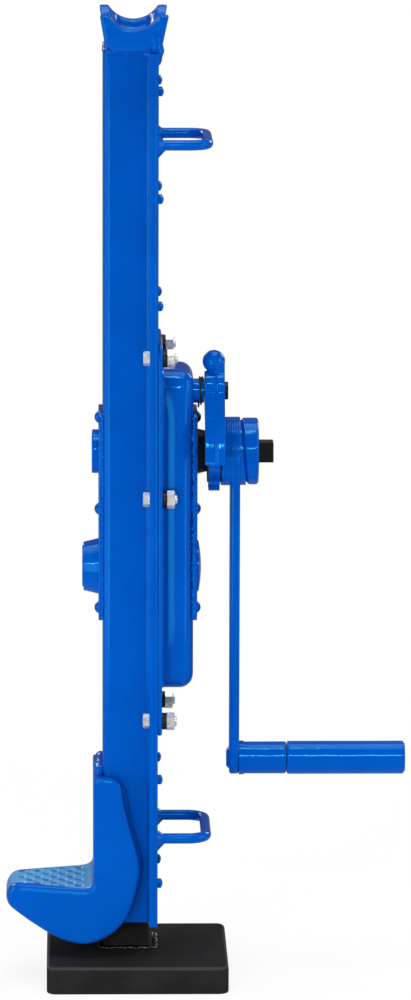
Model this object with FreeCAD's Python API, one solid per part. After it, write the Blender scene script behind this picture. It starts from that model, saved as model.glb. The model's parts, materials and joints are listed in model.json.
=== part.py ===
import FreeCAD, Part
import math
import os

# Rack jack for track work: a casing with gear train, claw and head climbs a rack that stands on a base plate.
# Millimetres. Origin in the middle of the base underside, +Z up, +X towards the crank, +Y behind.

V = FreeCAD.Vector

# Clearances
SLIDE_GAP = 0.3      # guides to rack, and between flat faces that turn past each other
RUN_GAP = 0.05       # radial, shafts in their bushes
FIT_GAP = 0.02       # radial, bushes and pins in the holes that hold them
HOLE_GAP = 0.5       # radial, bolt clearance holes
BACKLASH = 0.24      # at each gear mesh, on the pitch line

# Heights that the rest is set out from
HEAD_TOP = 804.5
MAIN_Z = 345.7       # lowest axle of the gear train, which drives the rack
AXLE_STEP = 32.0
COLUMN_BOTTOM = 46.8

CROWN_H = 30.5
COLUMN_TOP = HEAD_TOP - CROWN_H
LAY_2_Z = MAIN_Z + AXLE_STEP
LAY_1_Z = LAY_2_Z + AXLE_STEP
CRANK_Z = LAY_1_Z + AXLE_STEP

# Base and rack
BASE_X = 150.0
BASE_Y = 152.0
BASE_T = 23.0
BASE_CORNER = 8.0
RACK_W = 31.7        # along the pinion axle
RACK_MID_X = -7.15
RACK_TOP = COLUMN_TOP - 23.0
RACK_BACK_GAP = 0.5  # from the rack's back to the column wall
RACK_MODULE = 3.5
RACK_PLAIN_TOP = MAIN_Z - 40.0
FOOT_TOP = BASE_T + 20.0
STOP_T = 5.0
STOP_SCREW_R = 4.0
STOP_SCREW_AF = 14.0
GUIDE_L = 34.0
UPPER_GUIDE_L = 28.0
UPPER_GUIDE_TOP = LAY_1_Z - 3.7    # meets the stop plate at full lift

# Column, a hat section that opens towards the crank and is closed by a plate
WEB_X = -28.6        # outer face of the web
SHEET = 4.0
COLUMN_HALF_Y = 34.0
BOLT_Y = COLUMN_HALF_Y + 9.0    # both rows of rivets and bolts
LIP_HALF_Y = BOLT_Y + 8.0
COLUMN_DEPTH = 42.1
WEB_BEND = 6.0
LIP_BEND = 2.5
PLATE_T = 3.0
RIVET_R = 4.0
END_RIVET = 31.0     # first rivet from the column's top, and from the cover's flange

LIP_X = WEB_X + COLUMN_DEPTH          # where the back plate lies on the lips
PLATE_X = LIP_X + PLATE_T             # where the gear cover lies on the back plate
WALL_IN = COLUMN_HALF_Y - SHEET
WEB_IN = WEB_X + SHEET

# Gear cover and its bolts
COVER_SHEET = 3.5
COVER_DEPTH = 29.3
COVER_HALF_Y = COLUMN_HALF_Y + 1.0
COVER_BOTTOM = MAIN_Z - 98.8
COVER_TOP = CRANK_Z + 71.0
COVER_ROUND = 16.0
FLANGE_BOTTOM = COVER_BOTTOM - 36.2
FLANGE_TOP = COVER_TOP + 24.0
COVER_BOLT_Z = (FLANGE_TOP - 12.0, MAIN_Z + 62.5, FLANGE_BOTTOM + 12.5)
BOLT_D = 8.0
NUT_AF = 13.0
NUT_H = 6.5
BOLT_HEAD_H = 5.3
BOLT_HEAD_AF = 10.5
WASHER_R = 7.0
WASHER_T = 1.5
SPRING_WASHER_R = 6.9
SPRING_WASHER_T = 2.4
WASHER_BORE_GAP = 0.2
WASHER_SPLIT = 1.2

UPPER_RIVET = COLUMN_TOP - END_RIVET
MIDDLE_RIVET = FLANGE_TOP + END_RIVET
SECOND_RIVET = (UPPER_RIVET + MIDDLE_RIVET) / 2
RIVET_Z = (UPPER_RIVET, SECOND_RIVET, MIDDLE_RIVET,
           FLANGE_BOTTOM - END_RIVET - 5.7, COLUMN_BOTTOM + 39.6)
FLANGE_X = PLATE_X + COVER_SHEET
COVER_X = PLATE_X + COVER_DEPTH
COVER_IN = COVER_X - COVER_SHEET

# Gear train, four axles above one another
GEAR_Y = -3.4
GEAR_MODULE = 2.0
PINION_TEETH = 9
WHEEL_TEETH = 23
GEAR_SHIFT = 0.4
GEAR_FACE = 5.5
GEAR_SPACE = 0.8
GEAR_START = 19.5    # the plane next to the column
RACK_PINION_TEETH = 7
RACK_SHIFT = 0.4
MAIN_R = 9.0
MAIN_END_R = 6.0
LAY_R = 5.0
CRANK_LEFT_R = 7.0
CRANK_R = 12.0

PLANE_3 = GEAR_START
PLANE_2 = PLANE_3 + GEAR_FACE + GEAR_SPACE
PLANE_1 = PLANE_2 + GEAR_FACE + GEAR_SPACE

# Bearing plates in front and behind, with their caps
FRONT_PLATE_T = 3.4
REAR_PLATE_T = 3.2
BEARING_BOTTOM = MAIN_Z - 42.7
BEARING_TOP = CRANK_Z + 36.5
BEARING_HALF_Y = 27.0
PLATE_RIVET_Z = (BEARING_TOP - 8.0, (MAIN_Z + CRANK_Z) / 2, BEARING_BOTTOM + 8.0)
PLATE_RIVET_R = 5.0
FRONT_X = WEB_X - FRONT_PLATE_T
REAR_X = COVER_X + REAR_PLATE_T
MAIN_CAP_R = 23.0
MAIN_CAP_END_R = 20.0
MAIN_CAP_L = 12.4
CRANK_CAP_R = 18.0
CRANK_CAP_L = 5.6
REAR_CAP_R = 21.2
REAR_CAP_L = 3.5

# Claw and head
CLAW_HALF_Y = COLUMN_HALF_Y + 13.5
CLAW_FRONT_X = -36.5
TOE_TOP = 82.3
CLAW_TOP = TOE_TOP + 94.0
TOE_TIP_X = -109.0
TOE_TIP_HALF_Y = 25.0
HEAD_LEFT = -31.2
HEAD_RIGHT = 24.7
HEAD_HALF_Y = LIP_HALF_Y - 1.0
SADDLE_R = 23.8
SADDLE_DEPTH = 11.5
CROSS_SADDLE_R = 62.0

# Carry handles
HANDLE_Z = ((UPPER_RIVET + SECOND_RIVET) / 2, COLUMN_BOTTOM + 77.4)
HANDLE_D = 8.6
HANDLE_REACH = 61.0
HANDLE_BEND = 15.0
HANDLE_LEG_Y = BOLT_Y

# Ratchet brake, crank and grip, laid out along the crank axle
HUB_BEARING_R = 18.7
HUB_BEARING_L = 8.0
BRAKE_DISC_T = 1.0
RATCHET_T = 9.2
RATCHET_R = 32.6
RATCHET_ROOT_R = 27.5
RATCHET_TEETH = 12
RATCHET_PHASE = 7.0
DRUM_R = 28.0
DRUM_L = 7.8
ARM_T = 8.0
CAM_SLOPE = 5.0      # degrees, the slanting faces between hub and end disc
CAM_SPACE = 1.2
END_DISC_L = 11.4
CRANK_RADIUS = 258.0
ARM_W = 34.0
ARM_END_W = 27.0
SQUARE = 16.5
SQUARE_L = 12.5
GRIP_PIN_R = 7.0
FERRULE_R = 13.3
FERRULE_L = 39.5
SLEEVE_R = 13.7
SLEEVE_L = 97.1

BRAKE_X = REAR_X + HUB_BEARING_L
RATCHET_X = BRAKE_X + SLIDE_GAP + BRAKE_DISC_T
DRUM_X = RATCHET_X + RATCHET_T + BRAKE_DISC_T
ARM_X = DRUM_X + DRUM_L
CAM_X = ARM_X + ARM_T
DISC_END_X = CAM_X + DRUM_R * math.tan(math.radians(CAM_SLOPE)) + CAM_SPACE + END_DISC_L
SHAFT_END_X = DISC_END_X + SQUARE_L
GRIP_Z = CRANK_Z - CRANK_RADIUS

# Pawl
PAWL_Y = -14.0
PAWL_Z = CRANK_Z + 52.0
PAWL_STUB_R = 10.0
PAWL_PIN_R = 5.0
PAWL_HEAD_R = 7.3
PAWL_HEAD_L = 2.6
PAWL_EYE_R = 11.8
PAWL_SHOULDER = 4.5  # how far the eye is drawn out upwards
PAWL_LAYER = 8.3
BALL_R = 9.3
BALL_Z = PAWL_Z + 24.4
PAWL_TIP_Z = CRANK_Z - 4.0
PAWL_CLEAR = 0.7     # from the ratchet tips when swung out
SPRING_WIRE = 1.6
PAWL_X = RATCHET_X - 3.6
PAWL_MID_X = PAWL_X + PAWL_LAYER
PAWL_END_X = PAWL_MID_X + PAWL_LAYER


# Shape helpers

def box(x0, x1, y0, y1, z0, z1):
    return Part.makeBox(x1 - x0, y1 - y0, z1 - z0, V(x0, y0, z0))


def rod_x(radius, x0, x1, y, z):
    return Part.makeCylinder(radius, x1 - x0, V(x0, y, z), V(1, 0, 0))


def tube_x(outer, inner, x0, x1, y, z):
    return rod_x(outer, x0, x1, y, z).cut(rod_x(inner, x0 - 1, x1 + 1, y, z))


def cone_x(r0, r1, x0, x1, y, z):
    return Part.makeCone(r0, r1, x1 - x0, V(x0, y, z), V(1, 0, 0))


def dome_x(radius, height, x, y, z, side):
    """A low dome on a plane of constant X, bulging to the side +1 or -1."""
    ball_r = (radius ** 2 + height ** 2) / (2 * height)
    ball = Part.makeSphere(ball_r, V(x + side * (height - ball_r), y, z))
    start = x if side > 0 else x - height
    return ball.common(rod_x(radius, start, start + height, y, z))


def hex_x(across, x0, x1, y, z):
    """A hexagon prism along X with one flat turned to the side."""
    r = across / math.sqrt(3)
    ring = [V(x0, y + r * math.sin(math.radians(60 * i)), z + r * math.cos(math.radians(60 * i))) for i in range(7)]
    prism = Part.Face(Part.makePolygon(ring)).extrude(V(x1 - x0, 0, 0))
    return prism


def sheet(points, direction):
    """A prism from a closed outline of points."""
    return Part.Face(Part.makePolygon(points + points[:1])).extrude(direction)


def arc(a, b, c):
    return Part.Arc(a, b, c).toShape()


def line(a, b):
    return Part.LineSegment(a, b).toShape()


def spline(points):
    curve = Part.BSplineCurve()
    curve.interpolate(points)
    return curve.toShape()


def solid_of(edges, direction):
    return Part.Face(Part.Wire(edges)).extrude(direction)


def round_edges(shape, radius, chosen):
    """Rounds the edges whose middle point passes the test."""
    edges = []
    for e in shape.Edges:
        mid = e.valueAt((e.FirstParameter + e.LastParameter) / 2)
        if chosen(mid, e):
            edges.append(e)
    return shape.makeFillet(radius, edges)


def near(a, b):
    return abs(a - b) < 0.01


def group(shapes):
    return Part.makeCompound(shapes)


def cut_all(shape, tools):
    return shape.cut(group(tools)) if tools else shape


# Foot: base plate, rack and its stop

def base_plate():
    plate = box(-BASE_X / 2, BASE_X / 2, -BASE_Y / 2, BASE_Y / 2, 0, BASE_T)
    plate = round_edges(plate, BASE_CORNER, lambda m, e: near(m.z, BASE_T / 2))
    plate = round_edges(plate, BASE_T * 0.14, lambda m, e: near(m.z, BASE_T))
    return plate


def rack_pitch():
    return math.pi * RACK_MODULE


def rack_datum():
    """Distance from the pinion axle to the rack's reference line."""
    return RACK_MODULE * (RACK_PINION_TEETH / 2 + RACK_SHIFT)


RACK_TIP_Y = GEAR_Y + RACK_MODULE * (RACK_PINION_TEETH / 2 + RACK_SHIFT - 0.8)
RACK_ROOT_Y = GEAR_Y + RACK_MODULE * (RACK_PINION_TEETH / 2 + RACK_SHIFT + 1.0)
RACK_BACK_Y = WALL_IN - RACK_BACK_GAP
RACK_X0 = RACK_MID_X - RACK_W / 2
RACK_X1 = RACK_MID_X + RACK_W / 2


def rack_bar():
    """The bar stands on the base. Its tooth spaces are cut so that one lies level with the main axle."""
    slope = math.tan(math.radians(20))
    datum = GEAR_Y + rack_datum()
    half = rack_pitch() / 4 + BACKLASH / 2
    at_tip = half + (datum - RACK_TIP_Y) * slope
    at_root = half - (RACK_ROOT_Y - datum) * slope
    outline = [V(RACK_X0, RACK_TIP_Y, BASE_T)]
    first = math.ceil((RACK_PLAIN_TOP - MAIN_Z) / rack_pitch())
    last = math.floor((RACK_TOP - at_tip - 3 - MAIN_Z) / rack_pitch())
    for i in range(first, last + 1):
        z = MAIN_Z + i * rack_pitch()
        outline.append(V(RACK_X0, RACK_TIP_Y, z - at_tip))
        outline.append(V(RACK_X0, RACK_ROOT_Y, z - at_root))
        outline.append(V(RACK_X0, RACK_ROOT_Y, z + at_root))
        outline.append(V(RACK_X0, RACK_TIP_Y, z + at_tip))
    outline.append(V(RACK_X0, RACK_TIP_Y, RACK_TOP))
    outline.append(V(RACK_X0, RACK_BACK_Y, RACK_TOP))
    outline.append(V(RACK_X0, RACK_BACK_Y, BASE_T))
    bar = sheet(outline, V(RACK_W, 0, 0))
    return bar.cut(stop_hole())


def stop_y():
    return RACK_BACK_Y - STOP_SCREW_AF * 0.64


def stop_hole():
    return Part.makeCylinder(STOP_SCREW_R + FIT_GAP, 30, V(RACK_MID_X, stop_y(), RACK_TOP - 28))


def rack_foot():
    """Welded block round the rack's lower end, with the weld running out on the base."""
    x0, x1 = RACK_X0 - 2.5, RACK_X1 + 1
    y0, y1 = RACK_TIP_Y - 14, RACK_BACK_Y + 2
    run = 5.0
    block = box(x0, x1, y0, y1, BASE_T, FOOT_TOP)
    block = round_edges(block, 3, lambda m, e: near(m.z, (BASE_T + FOOT_TOP) / 2))
    low = [V(x0 - run, y0 - run, BASE_T), V(x1 + run, y0 - run, BASE_T)]
    low += [V(x1 + run, y1 + run, BASE_T), V(x0 - run, y1 + run, BASE_T)]
    high = [V(x0, y0, BASE_T + run), V(x1, y0, BASE_T + run)]
    high += [V(x1, y1, BASE_T + run), V(x0, y1, BASE_T + run)]
    weld = Part.makeLoft([Part.makePolygon(low + low[:1]), Part.makePolygon(high + high[:1])], True, True)
    foot = block.fuse(weld).removeSplitter()
    return foot.cut(box(RACK_X0, RACK_X1, RACK_TIP_Y, RACK_BACK_Y, 0, RACK_TOP))


def rack_stop_plate():
    """Reaches over the tooth side of the rack, so that the upper guide meets it at full lift."""
    edge = GEAR_Y + CRANK_LEFT_R + 2 * SLIDE_GAP
    plate = box(RACK_X0, RACK_X1, edge, RACK_BACK_Y - 2, RACK_TOP, RACK_TOP + STOP_T)
    return plate.cut(stop_hole().translated(V(0, 0, STOP_T)))


def rack_stop_screw():
    top = RACK_TOP + STOP_T
    shank = Part.makeCylinder(STOP_SCREW_R, 26 + STOP_T, V(RACK_MID_X, stop_y(), RACK_TOP - 26))
    ring = []
    for i in range(6):
        turn = math.radians(60 * i)
        corner = V(math.cos(turn), math.sin(turn), 0) * (STOP_SCREW_AF / math.sqrt(3))
        ring.append(V(RACK_MID_X, stop_y(), top) + corner)
    return shank.fuse(sheet(ring, V(0, 0, 6.4)))


# Column

def column_channel():
    outline = [V(WEB_X, -COLUMN_HALF_Y), V(LIP_X - SHEET, -COLUMN_HALF_Y), V(LIP_X - SHEET, -LIP_HALF_Y)]
    outline += [V(LIP_X, -LIP_HALF_Y), V(LIP_X, -WALL_IN), V(WEB_IN, -WALL_IN)]
    outline += [V(p.x, -p.y) for p in reversed(outline)]
    for p in outline:
        p.z = COLUMN_BOTTOM
    channel = sheet(outline, V(0, 0, COLUMN_TOP - COLUMN_BOTTOM))
    middle = (COLUMN_BOTTOM + COLUMN_TOP) / 2

    def upright(x, y):
        return lambda m, e: near(m.z, middle) and near(m.x, x) and near(abs(m.y), y)

    channel = round_edges(channel, WEB_BEND, upright(WEB_X, COLUMN_HALF_Y))
    channel = round_edges(channel, WEB_BEND - SHEET, upright(WEB_IN, WALL_IN))
    channel = round_edges(channel, LIP_BEND, upright(LIP_X - SHEET, COLUMN_HALF_Y))
    channel = round_edges(channel, LIP_BEND + SHEET, upright(LIP_X, WALL_IN))
    tools = [rod_x(MAIN_R + 4 + FIT_GAP, WEB_X - 1, WEB_IN + 1, GEAR_Y, MAIN_Z)]
    tools.append(rod_x(CRANK_LEFT_R + 3 + FIT_GAP, WEB_X - 1, WEB_IN + 1, GEAR_Y, CRANK_Z))
    for z in PLATE_RIVET_Z:
        tools.append(rod_x(PLATE_RIVET_R * 0.6 + FIT_GAP, WEB_X - 1, WEB_IN + 1, GEAR_Y, z))
    return cut_all(channel, tools + lip_holes(LIP_X - SHEET - 1, LIP_X + 1))


def lip_holes(x0, x1):
    """Holes for the rivets and the cover bolts of both rows."""
    holes = []
    for y in (-BOLT_Y, BOLT_Y):
        for z in RIVET_Z:
            holes.append(rod_x(RIVET_R * 0.65 + FIT_GAP, x0, x1, y, z))
        for z in COVER_BOLT_Z:
            holes.append(rod_x(BOLT_D / 2 + HOLE_GAP, x0, x1, y, z))
    return holes


def back_plate():
    plate = box(LIP_X, PLATE_X, -LIP_HALF_Y, LIP_HALF_Y, COLUMN_BOTTOM, COLUMN_TOP)
    tools = lip_holes(LIP_X - 1, PLATE_X + 1)
    tools.append(rod_x(MAIN_R + 4 + FIT_GAP, LIP_X - 1, PLATE_X + 1, GEAR_Y, MAIN_Z))
    for z in (LAY_1_Z, LAY_2_Z):
        tools.append(rod_x(LAY_R + 3 + FIT_GAP, LIP_X - 1, PLATE_X + 1, GEAR_Y, z))
    tools.append(rod_x(CRANK_LEFT_R + 3, LIP_X - 1, PLATE_X + 1, GEAR_Y, CRANK_Z))
    return cut_all(plate, tools)


def back_plate_rivets():
    rivets = []
    for y in (-BOLT_Y, BOLT_Y):
        for z in RIVET_Z:
            shank = rod_x(RIVET_R * 0.65, LIP_X - SHEET, PLATE_X, y, z)
            tail = dome_x(RIVET_R * 0.9, 1.4, LIP_X - SHEET, y, z, -1)
            collar = rod_x(RIVET_R, PLATE_X, PLATE_X + 2.6, y, z)
            head = dome_x(RIVET_R, 1.6, PLATE_X + 2.6, y, z, 1)
            rivets.append(tail.fuse([shank, collar, head]).removeSplitter())
    return group(rivets)


def rack_guide(z0, z1):
    """Block inside the column with a slot that the rack runs in."""
    block = box(WEB_IN, LIP_X, -WALL_IN, WALL_IN, z0, z1)
    block = round_edges(block, WEB_BEND - SHEET, lambda m, e: near(m.z, (z0 + z1) / 2) and near(m.x, WEB_IN))
    slot = box(RACK_X0 - SLIDE_GAP, RACK_X1 + SLIDE_GAP, RACK_TIP_Y - SLIDE_GAP, WALL_IN + 1, z0 - 1, z1 + 1)
    relief = LIP_BEND + SHEET
    corner = box(LIP_X - relief, LIP_X + 1, -WALL_IN - 1, -WALL_IN + 0.1, z0 - 1, z1 + 1)
    return block.cut(slot).cut(corner)


# Gear cover with its fasteners

def rounded_block(x0, x1, half_y, z0, z1, corner, rim):
    """A block with rounded corners seen along X and a rounded rim at its far end."""
    block = box(x0, x1, -half_y, half_y, z0, z1)
    block = round_edges(block, corner, lambda m, e: near(m.x, (x0 + x1) / 2))
    return round_edges(block, rim, lambda m, e: near(m.x, x1))


def gear_cover():
    flange = box(PLATE_X, FLANGE_X, -LIP_HALF_Y, LIP_HALF_Y, FLANGE_BOTTOM, FLANGE_TOP)
    flange = round_edges(flange, 9, lambda m, e: near(m.x, (PLATE_X + FLANGE_X) / 2))
    bulge = rounded_block(PLATE_X, COVER_X, COVER_HALF_Y, COVER_BOTTOM, COVER_TOP, COVER_ROUND, COVER_ROUND * 0.7)
    cover = flange.fuse(bulge).removeSplitter()
    cover = round_edges(cover, 1.0, lambda m, e: near(m.x, FLANGE_X) and abs(m.y) < COVER_HALF_Y + 0.1)
    t = COVER_SHEET
    hollow = rounded_block(PLATE_X - 1, COVER_IN, COVER_HALF_Y - t, COVER_BOTTOM + t, COVER_TOP - t,
                           COVER_ROUND - t, COVER_ROUND * 0.7 - t)
    tools = [hollow]
    for y in (-BOLT_Y, BOLT_Y):
        for z in COVER_BOLT_Z:
            tools.append(rod_x(BOLT_D / 2 + HOLE_GAP, PLATE_X - 1, FLANGE_X + 1, y, z))
    return cut_all(cover, tools + rear_holes(COVER_IN - 1, COVER_X + 1))


def rear_holes(x0, x1):
    """Bearing and rivet holes through the cover's rear wall and the plate on it."""
    holes = [rod_x(CRANK_R + 3 + FIT_GAP, x0, x1, GEAR_Y, CRANK_Z)]
    for z in (LAY_1_Z, LAY_2_Z):
        holes.append(rod_x(LAY_R + 3 + FIT_GAP, x0, x1, GEAR_Y, z))
    holes.append(rod_x(MAIN_END_R + 4 + FIT_GAP, x0, x1, GEAR_Y, MAIN_Z))
    for z in PLATE_RIVET_Z:
        holes.append(rod_x(PLATE_RIVET_R * 0.6 + FIT_GAP, x0, x1, GEAR_Y, z))
    return holes


WASHER_X = FLANGE_X + WASHER_T
NUT_X = WASHER_X + SPRING_WASHER_T


def both_rows(make):
    return group([make(y, z) for y in (-BOLT_Y, BOLT_Y) for z in COVER_BOLT_Z])


def cover_bolts():
    def bolt(y, z):
        head_x = LIP_X - SHEET
        head = hex_x(BOLT_HEAD_AF, head_x - BOLT_HEAD_H, head_x, y, z)
        narrow = BOLT_HEAD_AF * 0.48
        head = head.common(cone_x(narrow, narrow + BOLT_HEAD_H * 1.6, head_x - BOLT_HEAD_H, head_x, y, z))
        shank = rod_x(BOLT_D / 2, head_x, NUT_X + NUT_H + 1, y, z)
        end = cone_x(BOLT_D / 2, BOLT_D / 2 - 0.8, NUT_X + NUT_H + 1, NUT_X + NUT_H + 1.8, y, z)
        return head.fuse([shank, end]).removeSplitter()
    return both_rows(bolt)


def cover_nuts():
    def nut(y, z):
        body = hex_x(NUT_AF, NUT_X, NUT_X + NUT_H, y, z)
        body = body.common(cone_x(NUT_AF * 0.46 + NUT_H * 1.6, NUT_AF * 0.46, NUT_X, NUT_X + NUT_H, y, z))
        return body.cut(rod_x(BOLT_D / 2 + FIT_GAP, NUT_X - 1, NUT_X + NUT_H + 1, y, z))
    return both_rows(nut)


def cover_washers():
    bore = BOLT_D / 2 + WASHER_BORE_GAP
    return both_rows(lambda y, z: tube_x(WASHER_R, bore, FLANGE_X, WASHER_X, y, z))


def spring_washers():
    def ring(y, z):
        coil = tube_x(SPRING_WASHER_R, BOLT_D / 2 + WASHER_BORE_GAP, WASHER_X, NUT_X, y, z)
        half = WASHER_SPLIT / 2
        return coil.cut(box(WASHER_X - 1, NUT_X + 1, y - half, y + half, z, z + 2 * SPRING_WASHER_R))
    return both_rows(ring)


# Bearing plates, caps and bushes

def bearing_plate(x0, x1):
    plate = box(x0, x1, GEAR_Y - BEARING_HALF_Y, GEAR_Y + BEARING_HALF_Y, BEARING_BOTTOM, BEARING_TOP)
    return round_edges(plate, 12, lambda m, e: near(m.x, (x0 + x1) / 2))


def front_bearing_plate():
    tools = [rod_x(MAIN_R + 4 + FIT_GAP, FRONT_X - 1, WEB_X + 1, GEAR_Y, MAIN_Z)]
    tools.append(rod_x(CRANK_LEFT_R + 3 + FIT_GAP, FRONT_X - 1, WEB_X + 1, GEAR_Y, CRANK_Z))
    for z in PLATE_RIVET_Z:
        tools.append(rod_x(PLATE_RIVET_R * 0.6 + FIT_GAP, FRONT_X - 1, WEB_X + 1, GEAR_Y, z))
    return cut_all(bearing_plate(FRONT_X, WEB_X), tools)


def rear_bearing_plate():
    return cut_all(bearing_plate(COVER_X, REAR_X), rear_holes(COVER_X - 1, REAR_X + 1))


def plate_rivets(x0, x1, outside):
    """Domed heads on the outer face of a plate, shanks closed flush with the inner wall."""
    rivets = []
    for z in PLATE_RIVET_Z:
        shank = rod_x(PLATE_RIVET_R * 0.6, x0, x1, GEAR_Y, z)
        head = dome_x(PLATE_RIVET_R, 3.4, x1 if outside > 0 else x0, GEAR_Y, z, outside)
        rivets.append(shank.fuse(head).removeSplitter())
    return group(rivets)


def front_main_cap():
    end = FRONT_X - MAIN_CAP_L
    cap = cone_x(MAIN_CAP_END_R, MAIN_CAP_R, end, FRONT_X, GEAR_Y, MAIN_Z)
    cap = cap.fuse(rod_x(MAIN_CAP_END_R * 0.85, end - 1, end, GEAR_Y, MAIN_Z)).removeSplitter()
    return cap.cut(rod_x(MAIN_R + 4 + FIT_GAP, end + 3, FRONT_X + 1, GEAR_Y, MAIN_Z))


def front_crank_cap():
    end = FRONT_X - CRANK_CAP_L
    cap = rod_x(CRANK_CAP_R, end, FRONT_X, GEAR_Y, CRANK_Z)
    cap = round_edges(cap, 1.2, lambda m, e: near(m.x, end))
    return cap.cut(rod_x(CRANK_LEFT_R + 3 + FIT_GAP, end + 2, FRONT_X + 1, GEAR_Y, CRANK_Z))


def rear_main_cap():
    rim = rod_x(REAR_CAP_R, REAR_X, REAR_X + REAR_CAP_L * 0.4, GEAR_Y, MAIN_Z)
    top = dome_x(REAR_CAP_R, REAR_CAP_L * 0.6, REAR_X + REAR_CAP_L * 0.4, GEAR_Y, MAIN_Z, 1)
    return rim.fuse(top).removeSplitter()


def front_main_bush():
    return tube_x(MAIN_R + 4, MAIN_R + RUN_GAP, FRONT_X - MAIN_CAP_L + 3, WEB_IN, GEAR_Y, MAIN_Z)


def front_crank_bush():
    return tube_x(CRANK_LEFT_R + 3, CRANK_LEFT_R + RUN_GAP, FRONT_X - CRANK_CAP_L + 2, WEB_IN, GEAR_Y, CRANK_Z)


def flanged_bush(bore, wall, x0, x1, flange_x0, flange_x1, z):
    """A bush with a collar that rests on the wall it is pressed into."""
    body = rod_x(bore + wall, x0, x1, GEAR_Y, z)
    collar = rod_x(bore + wall + 2, flange_x0, flange_x1, GEAR_Y, z)
    return body.fuse(collar).removeSplitter().cut(rod_x(bore + RUN_GAP, x0 - 9, x1 + 9, GEAR_Y, z))


def inner_main_bush():
    return flanged_bush(MAIN_R, 4, LIP_X, PLATE_X, PLATE_X, PLATE_X + 2, MAIN_Z)


def inner_lay_bushes():
    return group([flanged_bush(LAY_R, 3, LIP_X, PLATE_X, PLATE_X, PLATE_X + 2, z) for z in (LAY_1_Z, LAY_2_Z)])


def rear_lay_bushes():
    return group([flanged_bush(LAY_R, 3, COVER_IN, REAR_X, COVER_IN - 1.5, COVER_IN, z) for z in (LAY_1_Z, LAY_2_Z)])


def rear_main_bush():
    return flanged_bush(MAIN_END_R, 4, COVER_IN, REAR_X, COVER_IN - 1.5, COVER_IN, MAIN_Z)


def crank_bearing():
    """Steel bearing of the crank shaft, passing through the rear wall with a wide dark collar outside."""
    body = rod_x(CRANK_R + 3, COVER_IN, REAR_X, GEAR_Y, CRANK_Z)
    collar = cone_x(HUB_BEARING_R, HUB_BEARING_R - 2, REAR_X, BRAKE_X, GEAR_Y, CRANK_Z)
    bore = rod_x(CRANK_R + RUN_GAP, COVER_IN - 1, BRAKE_X + 1, GEAR_Y, CRANK_Z)
    return body.fuse(collar).removeSplitter().cut(bore)


# Claw, head and handles

def lifting_claw():
    """Forged claw that grips the column from three sides, seen as a side outline with a toe tapering in plan."""
    def at(x, z):
        return V(x, -CLAW_HALF_Y, z)
    top_x = CLAW_FRONT_X
    inner = 6.0
    bend = inner * (1 - math.sqrt(0.5))
    high = CLAW_TOP - 9.5
    low = TOE_TOP - 25.0
    back = [(-13, high), (-7.4, low + 80), (-0.9, low + 57), (2, low + 43), (0.2, low + 29), (-3.8, low + 13)]
    back += [(-9.6, low - 1), (-21, low - 13.5), (-33, low - 20), (-44, low - 22.3), (-56, low - 21.3)]
    back += [(-76, low - 13.5), (-99, low)]
    edges = [line(at(top_x, CLAW_TOP), at(-22, CLAW_TOP - 1.5))]
    edges.append(arc(at(-22, CLAW_TOP - 1.5), at(-16, CLAW_TOP - 4.2), at(-13, high)))
    edges.append(spline([at(x, z) for x, z in back]))
    edges.append(line(at(-99, low), at(TOE_TIP_X + 3, TOE_TOP - 20)))
    edges.append(arc(at(TOE_TIP_X + 3, TOE_TOP - 20), at(TOE_TIP_X, TOE_TOP - 11), at(TOE_TIP_X + 9, TOE_TOP)))
    edges.append(line(at(TOE_TIP_X + 9, TOE_TOP), at(top_x - inner, TOE_TOP)))
    edges.append(arc(at(top_x - inner, TOE_TOP), at(top_x - bend, TOE_TOP + bend), at(top_x, TOE_TOP + inner)))
    edges.append(line(at(top_x, TOE_TOP + inner), at(top_x, CLAW_TOP)))
    claw = solid_of(edges, V(0, 2 * CLAW_HALF_Y, 0))
    claw = round_edges(claw, 3.0, lambda m, e: near(abs(m.y), CLAW_HALF_Y))
    claw = claw.common(toe_plan())
    return claw.cut(box(WEB_X, 60, -COLUMN_HALF_Y, COLUMN_HALF_Y, 0, CLAW_TOP + 20))


def toe_plan():
    """Seen from above the toe narrows to a blunt, rounded tip."""
    start = CLAW_FRONT_X - 2
    tip = TOE_TIP_X - 1
    plan = [V(60, -CLAW_HALF_Y - 1, 0), V(60, CLAW_HALF_Y + 1, 0), V(start, CLAW_HALF_Y + 1, 0)]
    plan += [V(start, CLAW_HALF_Y, 0), V(tip, TOE_TIP_HALF_Y, 0)]
    plan += [V(p.x, -p.y, 0) for p in reversed(plan[2:])]
    prism = sheet(plan, V(0, 0, CLAW_TOP + 20))
    return round_edges(prism, 10, lambda m, e: near(m.x, tip) and near(m.z, CLAW_TOP / 2 + 10))


def claw_weld():
    """Sloping weld that closes the claw's upper edge against the web."""
    low = CLAW_TOP
    points = [V(CLAW_FRONT_X + 1, -COLUMN_HALF_Y + WEB_BEND, low), V(WEB_X, -COLUMN_HALF_Y + WEB_BEND, low)]
    points.append(V(WEB_X, -COLUMN_HALF_Y + WEB_BEND, low + 9))
    return sheet(points, V(0, 2 * (COLUMN_HALF_Y - WEB_BEND), 0))


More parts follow.
